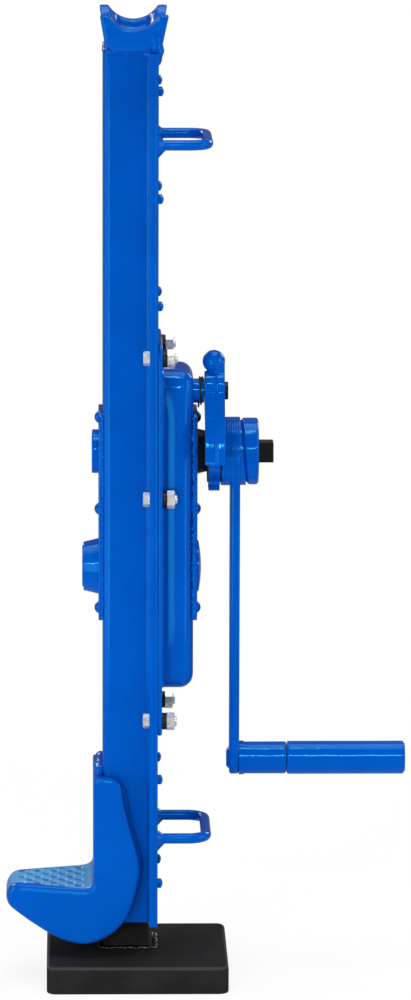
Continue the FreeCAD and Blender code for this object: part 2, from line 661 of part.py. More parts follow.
def load_head():
    """Crown with four horns: two crossing round troughs in a block that tapers to the column."""
    def frame(x0, x1, half, z):
        return Part.makePolygon([V(x0, -half, z), V(x1, -half, z), V(x1, half, z), V(x0, half, z), V(x0, -half, z)])
    low = COLUMN_TOP
    mid_x = (HEAD_LEFT + HEAD_RIGHT) / 2
    waist = low + 12
    lower = Part.makeLoft([frame(HEAD_LEFT + 5, HEAD_RIGHT - 5.5, HEAD_HALF_Y - 3, low),
                           frame(HEAD_LEFT + 3.2, HEAD_RIGHT - 4, HEAD_HALF_Y, waist)], True, True)
    upper = Part.makeLoft([frame(HEAD_LEFT + 3.2, HEAD_RIGHT - 4, HEAD_HALF_Y, waist),
                           frame(HEAD_LEFT, HEAD_RIGHT, HEAD_HALF_Y, HEAD_TOP)], True, True)
    head = lower.fuse(upper).removeSplitter()
    along = Part.makeCylinder(SADDLE_R, 4 * HEAD_HALF_Y, V(mid_x, -2 * HEAD_HALF_Y, HEAD_TOP - SADDLE_DEPTH + SADDLE_R),
                              V(0, 1, 0))
    across = Part.makeCylinder(CROSS_SADDLE_R, 4 * HEAD_HALF_Y,
                               V(mid_x - 2 * HEAD_HALF_Y, 0, HEAD_TOP - SADDLE_DEPTH + CROSS_SADDLE_R), V(1, 0, 0))
    head = head.cut(along).cut(across)
    head = round_edges(head, 2.0, lambda m, e: near(abs(m.y), HEAD_HALF_Y) and m.z > waist + 1 and m.z < HEAD_TOP - 2
                       and abs(m.x - mid_x) > SADDLE_R)
    plug = box(WEB_IN, LIP_X, -WALL_IN, WALL_IN, low - 8, low)
    plug = round_edges(plug, WEB_BEND, lambda m, e: near(m.z, low - 4) and near(abs(m.y), WALL_IN))
    return head.fuse(plug).removeSplitter()


def carry_handle(z):
    """Round bar bent to a U that lies flat, welded to the back plate."""
    y = HANDLE_LEG_Y
    far = HANDLE_REACH - HANDLE_D / 2
    r = HANDLE_BEND
    k = r * (1 - math.sqrt(0.5))
    path = [line(V(PLATE_X, -y, z), V(far - r, -y, z))]
    path.append(arc(V(far - r, -y, z), V(far - k, -y + k, z), V(far, -y + r, z)))
    path.append(line(V(far, -y + r, z), V(far, y - r, z)))
    path.append(arc(V(far, y - r, z), V(far - k, y - k, z), V(far - r, y, z)))
    path.append(line(V(far - r, y, z), V(PLATE_X, y, z)))
    ring = Part.Wire(Part.makeCircle(HANDLE_D / 2, V(PLATE_X, -y, z), V(1, 0, 0)))
    bar = Part.Wire(path).makePipeShell([ring], True, True)
    welds = [cone_x(HANDLE_D / 2 + 3, HANDLE_D / 2, PLATE_X, PLATE_X + 4, side * y, z) for side in (-1, 1)]
    return bar.fuse(welds).removeSplitter()


# Gears

def involute(angle):
    return math.tan(angle) - angle


def gear(teeth, module, shift, tip_r, root_r, x0, x1, z, phase):
    """Involute gear of 20 degrees along X, one tooth centred on the phase angle, counted from +Y towards +Z."""
    pitch_r = teeth * module / 2
    base_r = pitch_r * math.cos(math.radians(20))
    low_r = max(base_r, root_r)
    thick = module * (math.pi / 2 + 2 * shift * math.tan(math.radians(20))) - BACKLASH

    def half_angle(r):
        return thick / (2 * pitch_r) + involute(math.radians(20)) - involute(math.acos(min(1, base_r / r)))

    def at(r, a):
        return V(x0, GEAR_Y + r * math.cos(a), z + r * math.sin(a))

    radii = [low_r + (tip_r - low_r) * (i / 5) ** 1.6 for i in range(6)]
    step = 2 * math.pi / teeth
    edges = []
    for i in range(teeth):
        a = math.radians(phase) + i * step
        foot = half_angle(low_r)
        edges.append(line(at(root_r, a - foot), at(low_r, a - foot)))
        edges.append(spline([at(r, a - half_angle(r)) for r in radii]))
        edges.append(arc(at(tip_r, a - half_angle(tip_r)), at(tip_r, a), at(tip_r, a + half_angle(tip_r))))
        edges.append(spline([at(r, a + half_angle(r)) for r in reversed(radii)]))
        edges.append(line(at(low_r, a + foot), at(root_r, a + foot)))
        edges.append(arc(at(root_r, a + foot), at(root_r, a + step / 2), at(root_r, a + step - foot)))
    return solid_of(edges, V(x1 - x0, 0, 0))


def pinion(plane, z):
    """Small gear cut on a shaft, a tooth pointing down to the wheel below it."""
    r = PINION_TEETH * GEAR_MODULE / 2
    tip = r + GEAR_MODULE * (1.25)
    root = r + GEAR_MODULE * (GEAR_SHIFT - 1.25)
    return gear(PINION_TEETH, GEAR_MODULE, GEAR_SHIFT, tip, root, plane, plane + GEAR_FACE, z, -90)


def wheel(plane, z, bore_r):
    """Large gear with a tooth space pointing up to the pinion above it."""
    r = WHEEL_TEETH * GEAR_MODULE / 2
    tip = r + GEAR_MODULE * 0.55
    root = r - GEAR_MODULE * (GEAR_SHIFT + 1.25)
    phase = 90 + 180 / WHEEL_TEETH
    body = gear(WHEEL_TEETH, GEAR_MODULE, -GEAR_SHIFT, tip, root, plane, plane + GEAR_FACE, z, phase)
    return body.cut(rod_x(bore_r + FIT_GAP, plane - 1, plane + GEAR_FACE + 1, GEAR_Y, z))


def main_shaft():
    """Carries the rack pinion in the column and the last wheel behind it."""
    front = FRONT_X - MAIN_CAP_L + 3 + SLIDE_GAP
    step = PLANE_3 + GEAR_FACE + 0.4
    shaft = rod_x(MAIN_R, front, step, GEAR_Y, MAIN_Z)
    return shaft.fuse(rod_x(MAIN_END_R, step, REAR_X - SLIDE_GAP, GEAR_Y, MAIN_Z)).removeSplitter()


def rack_pinion():
    r = RACK_PINION_TEETH * RACK_MODULE / 2
    tip = r + RACK_MODULE * 1.2
    root = r + RACK_MODULE * (RACK_SHIFT - 1.15)
    body = gear(RACK_PINION_TEETH, RACK_MODULE, RACK_SHIFT, tip, root, RACK_X0 + 0.5, RACK_X1 - 0.5, MAIN_Z, 0)
    return body.cut(rod_x(MAIN_R + FIT_GAP, RACK_X0, RACK_X1, GEAR_Y, MAIN_Z))


def main_wheel():
    return wheel(PLANE_3, MAIN_Z, MAIN_R)


def lay_shaft(z, wheel_plane, pinion_plane):
    """Shaft with its pinion cut on it and a seat for the wheel."""
    shaft = rod_x(LAY_R, LIP_X + SLIDE_GAP, REAR_X - SLIDE_GAP, GEAR_Y, z)
    seat = rod_x(LAY_R + 1.5, wheel_plane, wheel_plane + GEAR_FACE, GEAR_Y, z)
    return shaft.fuse([seat, pinion(pinion_plane, z)]).removeSplitter()


def crank_shaft():
    """Round in its bearings, square where hub, arm and end disc sit, with the first pinion cut on it."""
    front = FRONT_X - CRANK_CAP_L + 2 + SLIDE_GAP
    left = rod_x(CRANK_LEFT_R, front, PLANE_1 + GEAR_FACE, GEAR_Y, CRANK_Z)
    right = rod_x(CRANK_R, PLANE_1 + GEAR_FACE, DRUM_X, GEAR_Y, CRANK_Z)
    end = square_x(SQUARE, DRUM_X, SHAFT_END_X)
    end = round_edges(end, 1.0, lambda m, e: near(m.x, SHAFT_END_X))
    shaft = left.fuse([right, end, pinion(PLANE_1, CRANK_Z)]).removeSplitter()
    return shaft.cut(square_pin_hole())


def square_x(side, x0, x1):
    return box(x0, x1, GEAR_Y - side / 2, GEAR_Y + side / 2, CRANK_Z - side / 2, CRANK_Z + side / 2)


def square_pin_hole():
    return Part.makeCylinder(2 + FIT_GAP, 60, V(DISC_END_X + SQUARE_L * 0.45, GEAR_Y - 30, CRANK_Z), V(0, 1, 0))


def square_pin():
    length = SQUARE + 4
    start = V(DISC_END_X + SQUARE_L * 0.45, GEAR_Y - length / 2, CRANK_Z)
    return Part.makeCylinder(2, length, start, V(0, 1, 0))


# Ratchet brake and crank

def brake_disc(x0):
    return tube_x(RATCHET_ROOT_R - 2, CRANK_R + FIT_GAP, x0, x0 + BRAKE_DISC_T, GEAR_Y, CRANK_Z)


PAWL_SWING = 3.2     # degrees from the free position to full depth in the ratchet


def nose_corner():
    """Lower inner corner of the pawl's nose when it is swung clear."""
    drop = CRANK_Z - PAWL_TIP_Z
    reach = math.sqrt((RATCHET_R + PAWL_CLEAR) ** 2 - drop ** 2)
    return GEAR_Y - reach, PAWL_TIP_Z


def ratchet_phase():
    """Angle of a tooth face just under the nose when the pawl is in."""
    y, z = nose_corner()
    a = math.radians(PAWL_SWING)
    dy, dz = y - PAWL_Y, z - PAWL_Z
    in_y = PAWL_Y + dy * math.cos(a) - dz * math.sin(a) - GEAR_Y
    in_z = PAWL_Z + dy * math.sin(a) + dz * math.cos(a) - CRANK_Z
    return math.degrees(math.atan2(in_z, in_y)) + 0.9


def ratchet_wheel():
    pitch = 360 / RATCHET_TEETH

    def at(r, degrees):
        a = math.radians(degrees)
        return V(RATCHET_X, GEAR_Y + r * math.cos(a), CRANK_Z + r * math.sin(a))
    edges = []
    for i in range(RATCHET_TEETH):
        a = ratchet_phase() + i * pitch
        edges.append(line(at(RATCHET_ROOT_R, a), at(RATCHET_R, a)))
        edges.append(arc(at(RATCHET_R, a), at(RATCHET_R, a + pitch * 0.12), at(RATCHET_R, a + pitch * 0.24)))
        edges.append(line(at(RATCHET_R, a + pitch * 0.24), at(RATCHET_ROOT_R, a + pitch)))
    body = solid_of(edges, V(RATCHET_T, 0, 0))
    return body.cut(rod_x(CRANK_R + FIT_GAP, RATCHET_X - 1, RATCHET_X + RATCHET_T + 1, GEAR_Y, CRANK_Z))


def crank_drum():
    drum = rod_x(DRUM_R, DRUM_X, ARM_X, GEAR_Y, CRANK_Z)
    drum = round_edges(drum, 1.0, lambda m, e: near(m.x, DRUM_X) and len(e.Vertexes) == 1)
    tools = [square_x(SQUARE + 2 * FIT_GAP, DRUM_X - 1, ARM_X + 1)]
    for share in (0.35, 0.65):
        x = DRUM_X + DRUM_L * share
        tools.append(tube_x(DRUM_R + 2, DRUM_R - 0.6, x - 0.4, x + 0.4, GEAR_Y, CRANK_Z))
    return cut_all(drum, tools)


def crank_arm():
    """Flat bar with a round eye on the shaft and a rounded end for the grip."""
    eye = rod_x(DRUM_R, ARM_X, CAM_X, GEAR_Y, CRANK_Z)
    end = rod_x(ARM_END_W / 2, ARM_X, CAM_X, GEAR_Y, GRIP_Z)
    points = [V(ARM_X, GEAR_Y - ARM_W / 2, CRANK_Z), V(ARM_X, GEAR_Y - ARM_END_W / 2, GRIP_Z)]
    points += [V(ARM_X, GEAR_Y + ARM_END_W / 2, GRIP_Z), V(ARM_X, GEAR_Y + ARM_W / 2, CRANK_Z)]
    arm = eye.fuse([sheet(points, V(ARM_T, 0, 0)), end]).removeSplitter()
    arm = round_edges(arm, 14, lambda m, e: near(m.x, (ARM_X + CAM_X) / 2) and m.z > GRIP_Z + 40 and m.z < CRANK_Z)
    tools = [square_x(SQUARE + 2 * FIT_GAP, ARM_X - 1, CAM_X + 1)]
    tools.append(rod_x(GRIP_PIN_R + FIT_GAP, ARM_X - 1, CAM_X + 1, GEAR_Y, GRIP_Z))
    return cut_all(arm, tools)


def cam_cut(x, keep_right):
    """A block beyond a plane through the axle at X that leans by the cam slope."""
    big = box(0, 80, -80, 80, -80, 80) if not keep_right else box(-80, 0, -80, 80, -80, 80)
    big.rotate(V(0, 0, 0), V(0, 1, 0), -CAM_SLOPE)
    return big.translated(V(x, GEAR_Y, CRANK_Z))


CAM_MID_X = CAM_X + DRUM_R * math.tan(math.radians(CAM_SLOPE))


def cam_ring():
    """Lies on the arm's eye and ends in a slanting face."""
    ring = rod_x(DRUM_R, CAM_X, CAM_MID_X + 6, GEAR_Y, CRANK_Z).cut(cam_cut(CAM_MID_X, False))
    return ring.cut(square_x(SQUARE + 2 * FIT_GAP, CAM_X - 1, CAM_MID_X + 9))


def end_disc():
    disc = rod_x(DRUM_R - 0.5, CAM_X - 5, DISC_END_X, GEAR_Y, CRANK_Z)
    disc = round_edges(disc, 2.5, lambda m, e: near(m.x, DISC_END_X))
    disc = disc.cut(cam_cut(CAM_MID_X + CAM_SPACE, True))
    neck = rod_x(DRUM_R - 2.5, CAM_X, DISC_END_X - 3, GEAR_Y, CRANK_Z).cut(cam_cut(CAM_MID_X, True))
    return disc.fuse(neck).removeSplitter().cut(square_x(SQUARE + 2 * FIT_GAP, CAM_X - 9, DISC_END_X + 1))


GRIP_X = CAM_X + FERRULE_L + SLIDE_GAP
SLEEVE_END = GRIP_X + SLEEVE_L


def grip_pin():
    """Headed behind the arm, runs through ferrule and sleeve and ends in a thread for the nut."""
    head = cone_x(GRIP_PIN_R, GRIP_PIN_R + 2.5, ARM_X - 2.4, ARM_X, GEAR_Y, GRIP_Z)
    return head.fuse(rod_x(GRIP_PIN_R, ARM_X, SLEEVE_END - 5, GEAR_Y, GRIP_Z)).removeSplitter()


def grip_ferrule():
    body = rod_x(FERRULE_R, CAM_X, CAM_X + FERRULE_L, GEAR_Y, GRIP_Z)
    body = round_edges(body, 2.0, lambda m, e: near(m.x, CAM_X + FERRULE_L))
    ring = rod_x(FERRULE_R + 0.8, CAM_X, CAM_X + 4, GEAR_Y, GRIP_Z)
    return body.fuse(ring).removeSplitter().cut(rod_x(GRIP_PIN_R + FIT_GAP, CAM_X - 1, GRIP_X, GEAR_Y, GRIP_Z))


def grip_nut():
    x0 = SLEEVE_END - 11
    nut = hex_x(17, x0, x0 + 5, GEAR_Y, GRIP_Z)
    return nut.cut(rod_x(GRIP_PIN_R + FIT_GAP, x0 - 1, x0 + 6, GEAR_Y, GRIP_Z))


def grip_sleeve():
    body = rod_x(SLEEVE_R, GRIP_X, SLEEVE_END, GEAR_Y, GRIP_Z)
    body = round_edges(body, 1.5, lambda m, e: near(m.x, SLEEVE_END) or near(m.x, GRIP_X))
    bore = rod_x(GRIP_PIN_R + RUN_GAP, GRIP_X - 1, SLEEVE_END, GEAR_Y, GRIP_Z)
    pocket = rod_x(SLEEVE_R - 3, SLEEVE_END - 11 - SLIDE_GAP, SLEEVE_END + 1, GEAR_Y, GRIP_Z)
    return body.cut(bore).cut(pocket)


def grip_plug():
    """Cap pressed into the sleeve's open end, its rim lying on the sleeve."""
    r = SLEEVE_R - 3
    body = rod_x(r - FIT_GAP, SLEEVE_END - 4, SLEEVE_END, GEAR_Y, GRIP_Z)
    rim = rod_x(r + 1.2, SLEEVE_END, SLEEVE_END + 0.8, GEAR_Y, GRIP_Z)
    return body.fuse(rim).removeSplitter()


# Pawl

STUB_END = PAWL_X - SLIDE_GAP


def pawl_stub():
    return tube_x(PAWL_STUB_R, PAWL_PIN_R + FIT_GAP, COVER_X, STUB_END, PAWL_Y, PAWL_Z)


def pawl_pin():
    shank = rod_x(PAWL_PIN_R, COVER_X, PAWL_END_X + SLIDE_GAP, PAWL_Y, PAWL_Z)
    head = rod_x(PAWL_HEAD_R, PAWL_END_X + SLIDE_GAP, PAWL_END_X + SLIDE_GAP + PAWL_HEAD_L, PAWL_Y, PAWL_Z)
    return shank.fuse(round_edges(head, 0.6, lambda m, e: m.x > PAWL_END_X + 1)).removeSplitter()


def pawl_limb(x0, x1):
    """One layer of the pawl's lower limb, curved clear of the ratchet's tips."""
    inner = RATCHET_R + 6.0
    outer = inner + 9.0
    drop = CRANK_Z - PAWL_TIP_Z

    def at(r, degrees):
        a = math.radians(degrees)
        return V(x0, GEAR_Y + r * math.cos(a), CRANK_Z + r * math.sin(a))

    def at_tip(r):
        return V(x0, GEAR_Y - math.sqrt(r ** 2 - drop ** 2), PAWL_TIP_Z)
    eye_side = V(x0, PAWL_Y - PAWL_EYE_R, PAWL_Z)
    inside = at(inner, 104)
    edges = [line(eye_side, at(outer, 150)), arc(at(outer, 150), at(outer, 168), at_tip(outer))]
    edges.append(line(at_tip(outer), at_tip(inner)))
    edges.append(arc(at_tip(inner), at(inner, 145), inside))
    edges.append(line(inside, V(x0, PAWL_Y + PAWL_EYE_R * 0.6, PAWL_Z - 2)))
    edges.append(line(V(x0, PAWL_Y + PAWL_EYE_R * 0.6, PAWL_Z - 2), eye_side))
    return solid_of(edges, V(x1 - x0, 0, 0))


def pawl_nose():
    """The block that drops in front of a ratchet tooth."""
    y, z = nose_corner()
    back = y - 6.2
    x0 = RATCHET_X + 0.5
    points = [V(x0, y, z), V(x0, back, z), V(x0, back, z + 12), V(x0, y - 2.2, z + 6), V(x0, y - 0.15, z + 3.6)]
    return sheet(points, V(RATCHET_T - 1, 0, 0))


def pawl():
    limb = pawl_limb(PAWL_X, PAWL_END_X)
    eye = rod_x(PAWL_EYE_R, PAWL_X, PAWL_END_X, PAWL_Y, PAWL_Z)
    lever = box(PAWL_MID_X, PAWL_END_X, PAWL_Y - 6.5, PAWL_Y + 6.5, PAWL_Z, BALL_Z)
    ball = Part.makeSphere(BALL_R, V(PAWL_MID_X - 0.6, PAWL_Y, BALL_Z))
    shoulder = rod_x(PAWL_EYE_R, PAWL_X, PAWL_END_X, PAWL_Y, PAWL_Z + PAWL_SHOULDER)
    body = limb.fuse([eye, shoulder, lever, ball, pawl_nose()]).removeSplitter()
    return body.cut(rod_x(PAWL_PIN_R + RUN_GAP, PAWL_X - 1, PAWL_END_X + 1, PAWL_Y, PAWL_Z))


def pawl_spring():
    """Wire coil on the stub, its straight ends running off beside the pawl."""
    r = PAWL_STUB_R + SPRING_WIRE / 2 + SLIDE_GAP
    pitch = SPRING_WIRE * 1.25
    turns = 1.5
    rise = pitch * turns
    x0 = STUB_END - SPRING_WIRE / 2 - rise - SLIDE_GAP * 2
    slope = V(0, 1, pitch / (2 * math.pi * r)).normalize()
    back = V(0, -1, slope.z).normalize()
    start, end = V(r, 0, 0), V(-r, 0, rise)
    lead = start - slope * 13
    path = [line(lead, start)] + Part.makeHelix(pitch, rise, r).Edges + [line(end, end + back * 14)]
    ring = Part.Wire(Part.makeCircle(SPRING_WIRE / 2, lead, slope))
    wire = Part.Wire(path).makePipeShell([ring], True, False)
    wire.rotate(V(0, 0, 0), V(0, 1, 0), 90)
    return wire.translated(V(x0, PAWL_Y, PAWL_Z))


# Every piece by its node name

NODES = {
    "base_plate": base_plate(),
    "rack_bar": rack_bar(),
    "rack_foot": rack_foot(),
    "rack_stop_plate": rack_stop_plate(),
    "rack_stop_screw": rack_stop_screw(),
    "column_channel": column_channel(),
    "back_plate": back_plate(),
    "back_plate_rivets": back_plate_rivets(),
    "rack_guide_lower": rack_guide(COLUMN_BOTTOM + 6, COLUMN_BOTTOM + 6 + GUIDE_L),
    "rack_guide_upper": rack_guide(UPPER_GUIDE_TOP - UPPER_GUIDE_L, UPPER_GUIDE_TOP),
    "gear_cover": gear_cover(),
    "cover_bolts": cover_bolts(),
    "cover_nuts": cover_nuts(),
    "cover_washers": cover_washers(),
    "spring_washers": spring_washers(),
    "front_bearing_plate": front_bearing_plate(),
    "rear_bearing_plate": rear_bearing_plate(),
    "front_plate_rivets": plate_rivets(FRONT_X, WEB_IN, -1),
    "rear_plate_rivets": plate_rivets(COVER_IN, REAR_X, 1),
    "front_main_cap": front_main_cap(),
    "front_crank_cap": front_crank_cap(),
    "rear_main_cap": rear_main_cap(),
    "front_main_bush": front_main_bush(),
    "front_crank_bush": front_crank_bush(),
    "inner_main_bush": inner_main_bush(),
    "inner_lay_bushes": inner_lay_bushes(),
    "rear_lay_bushes": rear_lay_bushes(),
    "rear_main_bush": rear_main_bush(),
    "crank_bearing": crank_bearing(),
    "lifting_claw": lifting_claw(),
    "claw_weld": claw_weld(),
    "load_head": load_head(),
    "carry_handle_upper": carry_handle(HANDLE_Z[0]),
    "carry_handle_lower": carry_handle(HANDLE_Z[1]),
    "pawl_stub": pawl_stub(),
    "pawl_pin": pawl_pin(),
    "pawl_spring": pawl_spring(),
    "main_shaft": main_shaft(),
    "rack_pinion": rack_pinion(),
    "main_wheel": main_wheel(),
    "lay_shaft_2": lay_shaft(LAY_2_Z, PLANE_2, PLANE_3),
    "lay_wheel_2": wheel(PLANE_2, LAY_2_Z, LAY_R + 1.5),
    "lay_shaft_1": lay_shaft(LAY_1_Z, PLANE_1, PLANE_2),
    "lay_wheel_1": wheel(PLANE_1, LAY_1_Z, LAY_R + 1.5),
    "crank_shaft": crank_shaft(),
    "square_pin": square_pin(),
    "brake_disc_inner": brake_disc(RATCHET_X - BRAKE_DISC_T),
    "brake_disc_outer": brake_disc(RATCHET_X + RATCHET_T),
    "ratchet_wheel": ratchet_wheel(),
    "crank_drum": crank_drum(),
    "crank_arm": crank_arm(),
    "cam_ring": cam_ring(),
    "end_disc": end_disc(),
    "grip_pin": grip_pin(),
    "grip_ferrule": grip_ferrule(),
    "grip_nut": grip_nut(),
    "grip_sleeve": grip_sleeve(),
    "grip_plug": grip_plug(),
    "pawl": pawl(),
}

os.makedirs("parts", exist_ok=True)
for name, shape in NODES.items():
    shape.exportStep("parts/" + name + ".step")
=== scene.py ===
import json
import math

import bmesh
import bpy
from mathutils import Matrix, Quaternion, Vector, noise


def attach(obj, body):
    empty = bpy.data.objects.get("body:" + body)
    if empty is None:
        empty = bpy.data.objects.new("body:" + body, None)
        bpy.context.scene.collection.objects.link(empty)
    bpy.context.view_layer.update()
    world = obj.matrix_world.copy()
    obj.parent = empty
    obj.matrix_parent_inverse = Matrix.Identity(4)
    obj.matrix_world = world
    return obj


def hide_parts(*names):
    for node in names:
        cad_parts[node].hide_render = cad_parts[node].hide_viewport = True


# Track jack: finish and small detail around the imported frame. Metres, +Z up, +X towards the crank.

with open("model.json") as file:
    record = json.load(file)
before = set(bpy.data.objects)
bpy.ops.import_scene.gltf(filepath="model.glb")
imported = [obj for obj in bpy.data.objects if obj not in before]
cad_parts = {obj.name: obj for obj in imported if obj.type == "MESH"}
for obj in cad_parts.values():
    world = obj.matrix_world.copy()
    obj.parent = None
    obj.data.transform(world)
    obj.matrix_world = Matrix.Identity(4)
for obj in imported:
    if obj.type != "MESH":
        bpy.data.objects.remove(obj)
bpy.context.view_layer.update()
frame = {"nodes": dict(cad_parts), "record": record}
nodes = frame["nodes"]
scene = bpy.context.scene
scene.view_settings.view_transform = "Standard"

# Node helpers

class Graph:
    """Short calls for making and linking shader nodes."""

    def __init__(self, tree):
        self.tree = tree
        tree.nodes.clear()

    def add(self, kind, **settings):
        node = self.tree.nodes.new(kind)
        for key, value in settings.items():
            if key in node.inputs:
                node.inputs[key].default_value = value
            else:
                setattr(node, key, value)
        return node

    def link(self, source, target, into):
        self.tree.links.new(source, target.inputs[into])


def new_material(name):
    mat = bpy.data.materials.new(name)
    mat.use_nodes = True
    return mat, Graph(mat.node_tree)


def noise_at(g, coords, scale, detail=2.0, rough=0.5):
    tex = g.add("ShaderNodeTexNoise")
    tex.inputs["Scale"].default_value = scale
    tex.inputs["Detail"].default_value = detail
    tex.inputs["Roughness"].default_value = rough
    g.link(coords, tex, "Vector")
    return tex.outputs["Fac"]


def ramp(g, value, stops):
    node = g.add("ShaderNodeValToRGB")
    e = node.color_ramp.elements
    while len(e) < len(stops):
        e.new(0.5)
    for item, (pos, colour) in zip(e, stops):
        item.position = pos
        item.color = (*colour, 1) if len(colour) == 3 else colour
    g.link(value, node, "Fac")
    return node.outputs["Color"]


def grey(v):
    return (v, v, v)


def bump(g, height, strength, distance, normal=None):
    node = g.add("ShaderNodeBump")
    node.inputs["Strength"].default_value = strength
    node.inputs["Distance"].default_value = distance
    g.link(height, node, "Height")
    if normal is not None:
        g.link(normal, node, "Normal")
    return node.outputs["Normal"]


def finish_material(g, shader):
    out = g.add("ShaderNodeOutputMaterial")
    g.link(shader.outputs["BSDF"], out, "Surface")


# Finishes

BLUE = (0.0, 0.083, 0.475)
DARK_BLUE = (0.0, 0.070, 0.41)
BLACK = (0.006, 0.006, 0.007)
DARK_BLACK = (0.004, 0.004, 0.005)
RIVET_BLACK = (0.006, 0.006, 0.008, 1)
RIVETS_BLACK_ABOVE = 0.45
PAINT_SHINE = 0.36
PAINT_TINT = (0.08, 0.74, 1.0, 1.0)
BLACK_SHINE = 0.06
# Pale blue painted highlight for the upward faces of the toe
HIGHLIGHT_BLUE = (0.11, 0.40, 0.72)
MIX_FACTOR, MIX_A, MIX_B, MIX_RESULT = 0, 6, 7, 2    # colour sockets of the Mix node


def paint(name, colour, deep, peel=0.16, gloss=0.07, over=None, shine=PAINT_SHINE, tint=PAINT_TINT):
    """Gloss paint with orange peel and faint clouds; over(graph, coords, base) can change its colour."""
    mat, g = new_material(name)
    coords = g.add("ShaderNodeTexCoord").outputs["Object"]
    shader = g.add("ShaderNodeBsdfPrincipled")
    cloud = noise_at(g, coords, 18.0, 4.0, 0.55)
    base = ramp(g, cloud, [(0.30, deep), (0.62, colour)])
    if over:
        base = over(g, coords, base)
    g.link(base, shader, "Base Color")
    haze = noise_at(g, coords, 140.0, 3.0, 0.6)
    g.link(ramp(g, haze, [(0.25, grey(gloss)), (0.8, grey(gloss + 0.07))]), shader, "Roughness")
    fine = bump(g, noise_at(g, coords, 300.0, 1.5), peel, 0.0005)
    wave = bump(g, noise_at(g, coords, 70.0, 1.0), peel * 0.7, 0.0010, fine)
    g.link(wave, shader, "Normal")
    shader.inputs["IOR"].default_value = 1.5
    shader.inputs["Specular IOR Level"].default_value = shine
    shader.inputs["Specular Tint"].default_value = tint
    finish_material(g, shader)
    return mat


def mixed(g, share, base, colour):
    mix = g.add("ShaderNodeMix", data_type="RGBA")
    g.link(share, mix, MIX_FACTOR)
    g.link(base, mix, MIX_A)
    mix.inputs[MIX_B].default_value = colour
    return mix.outputs[MIX_RESULT]


def painted_highlight(g, coords, base, colour=HIGHLIGHT_BLUE):
    """Painted highlight: colour that pales where the mesh is marked for a highlight."""
    highlight_share = g.add("ShaderNodeAttribute", attribute_name="highlight_share")
    return mixed(g, highlight_share.outputs["Fac"], base, (*colour, 1))


def dark_above(g, coords, base):
    """Colour that turns black above a height."""
    place = g.add("ShaderNodeSeparateXYZ")
    g.link(coords, place, 0)
    split = g.add("ShaderNodeMath", operation="GREATER_THAN")
    g.link(place.outputs["Z"], split, 0)
    split.inputs[1].default_value = RIVETS_BLACK_ABOVE
    return mixed(g, split.outputs[0], base, RIVET_BLACK)


def satin_black(name, tone, rough=0.5, shine=BLACK_SHINE, highlight_tone=None):
    """Powder-like black coat with a fine grain; the highlight tone, if given, is a painted highlight laid where a
    mesh is marked for one.
    """
    mat, g = new_material(name)
    coords = g.add("ShaderNodeTexCoord").outputs["Object"]
    shader = g.add("ShaderNodeBsdfPrincipled")
    cloud = noise_at(g, coords, 22.0, 5.0, 0.6)
    base = ramp(g, cloud, [(0.3, grey(tone * 0.75)), (0.7, grey(tone * 1.35))])
    if highlight_tone:
        base = painted_highlight(g, coords, base, grey(highlight_tone))
    g.link(base, shader, "Base Color")
    haze = noise_at(g, coords, 90.0, 3.0, 0.6)
    g.link(ramp(g, haze, [(0.3, grey(rough)), (0.75, grey(rough + 0.14))]), shader, "Roughness")
    grain = bump(g, noise_at(g, coords, 900.0, 2.0), 0.22, 0.0004)
    g.link(grain, shader, "Normal")
    shader.inputs["IOR"].default_value = 1.45
    shader.inputs["Specular IOR Level"].default_value = shine
    finish_material(g, shader)
    return mat


def metal(name, colour, rough, streak=(1.0, 1.0, 1.0), grain=220.0, spots=0.0, bare=1.0):
    """Bare or plated metal with brushed grain along one direction and cloudy tarnish."""
    mat, g = new_material(name)
    coords = g.add("ShaderNodeTexCoord").outputs["Object"]
    stretch = g.add("ShaderNodeMapping")
    stretch.inputs["Scale"].default_value = streak
    g.link(coords, stretch, "Vector")
    shader = g.add("ShaderNodeBsdfPrincipled")
    shader.inputs["Metallic"].default_value = bare
    cloud = noise_at(g, coords, 120.0, 4.0, 0.6)
    dull = tuple(c * (0.72 - spots) for c in colour)
    g.link(ramp(g, cloud, [(0.32, dull), (0.62, colour)]), shader, "Base Color")
    lines = noise_at(g, stretch.outputs["Vector"], grain, 2.0, 0.6)
    g.link(ramp(g, lines, [(0.3, grey(rough * 0.75)), (0.75, grey(rough * 1.35))]), shader, "Roughness")
    g.link(bump(g, lines, 0.18, 0.0003), shader, "Normal")
    finish_material(g, shader)
    return mat


blue = paint("blue_gloss", BLUE, DARK_BLUE)
blue_cast = paint("blue_cast_gloss", BLUE, DARK_BLUE, peel=0.30, gloss=0.08)
# The claw's paint carries the painted highlight on its toe top
blue_claw = paint("blue_claw_gloss", BLUE, DARK_BLUE, peel=0.14, gloss=0.10, over=painted_highlight)
blue_peel = paint("blue_peel_gloss", BLUE, DARK_BLUE, peel=0.34, gloss=0.06)
rear_rivets = paint("rear_rivet_gloss", BLUE, DARK_BLUE, peel=0.2, gloss=0.08, over=dark_above)
black = satin_black("black_coat", 0.016, 0.55)
# The base's black takes a grey painted highlight along its upper edge
black_base = satin_black("black_base", 0.016, 0.55, highlight_tone=0.042)
black_deep = satin_black("black_fitting", 0.008, 0.30, 0.25)
black_gloss = paint("black_gloss", BLACK, DARK_BLACK, 0.5, 0.06, shine=0.5, tint=(1, 1, 1, 1))
zinc = metal("zinc_plate", (0.84, 0.86, 0.85), 0.24, (1, 1, 1), 300.0, 0.05, 0.6)
gear_steel = metal("gear_steel", (0.36, 0.35, 0.34), 0.32, (0.2, 1, 1))
bronze = metal("bush_bronze", (0.55, 0.36, 0.15), 0.3, (0.2, 1, 1))
guide = satin_black("guide_iron", 0.09, 0.55)
lining = satin_black("brake_lining", 0.05, 0.75)

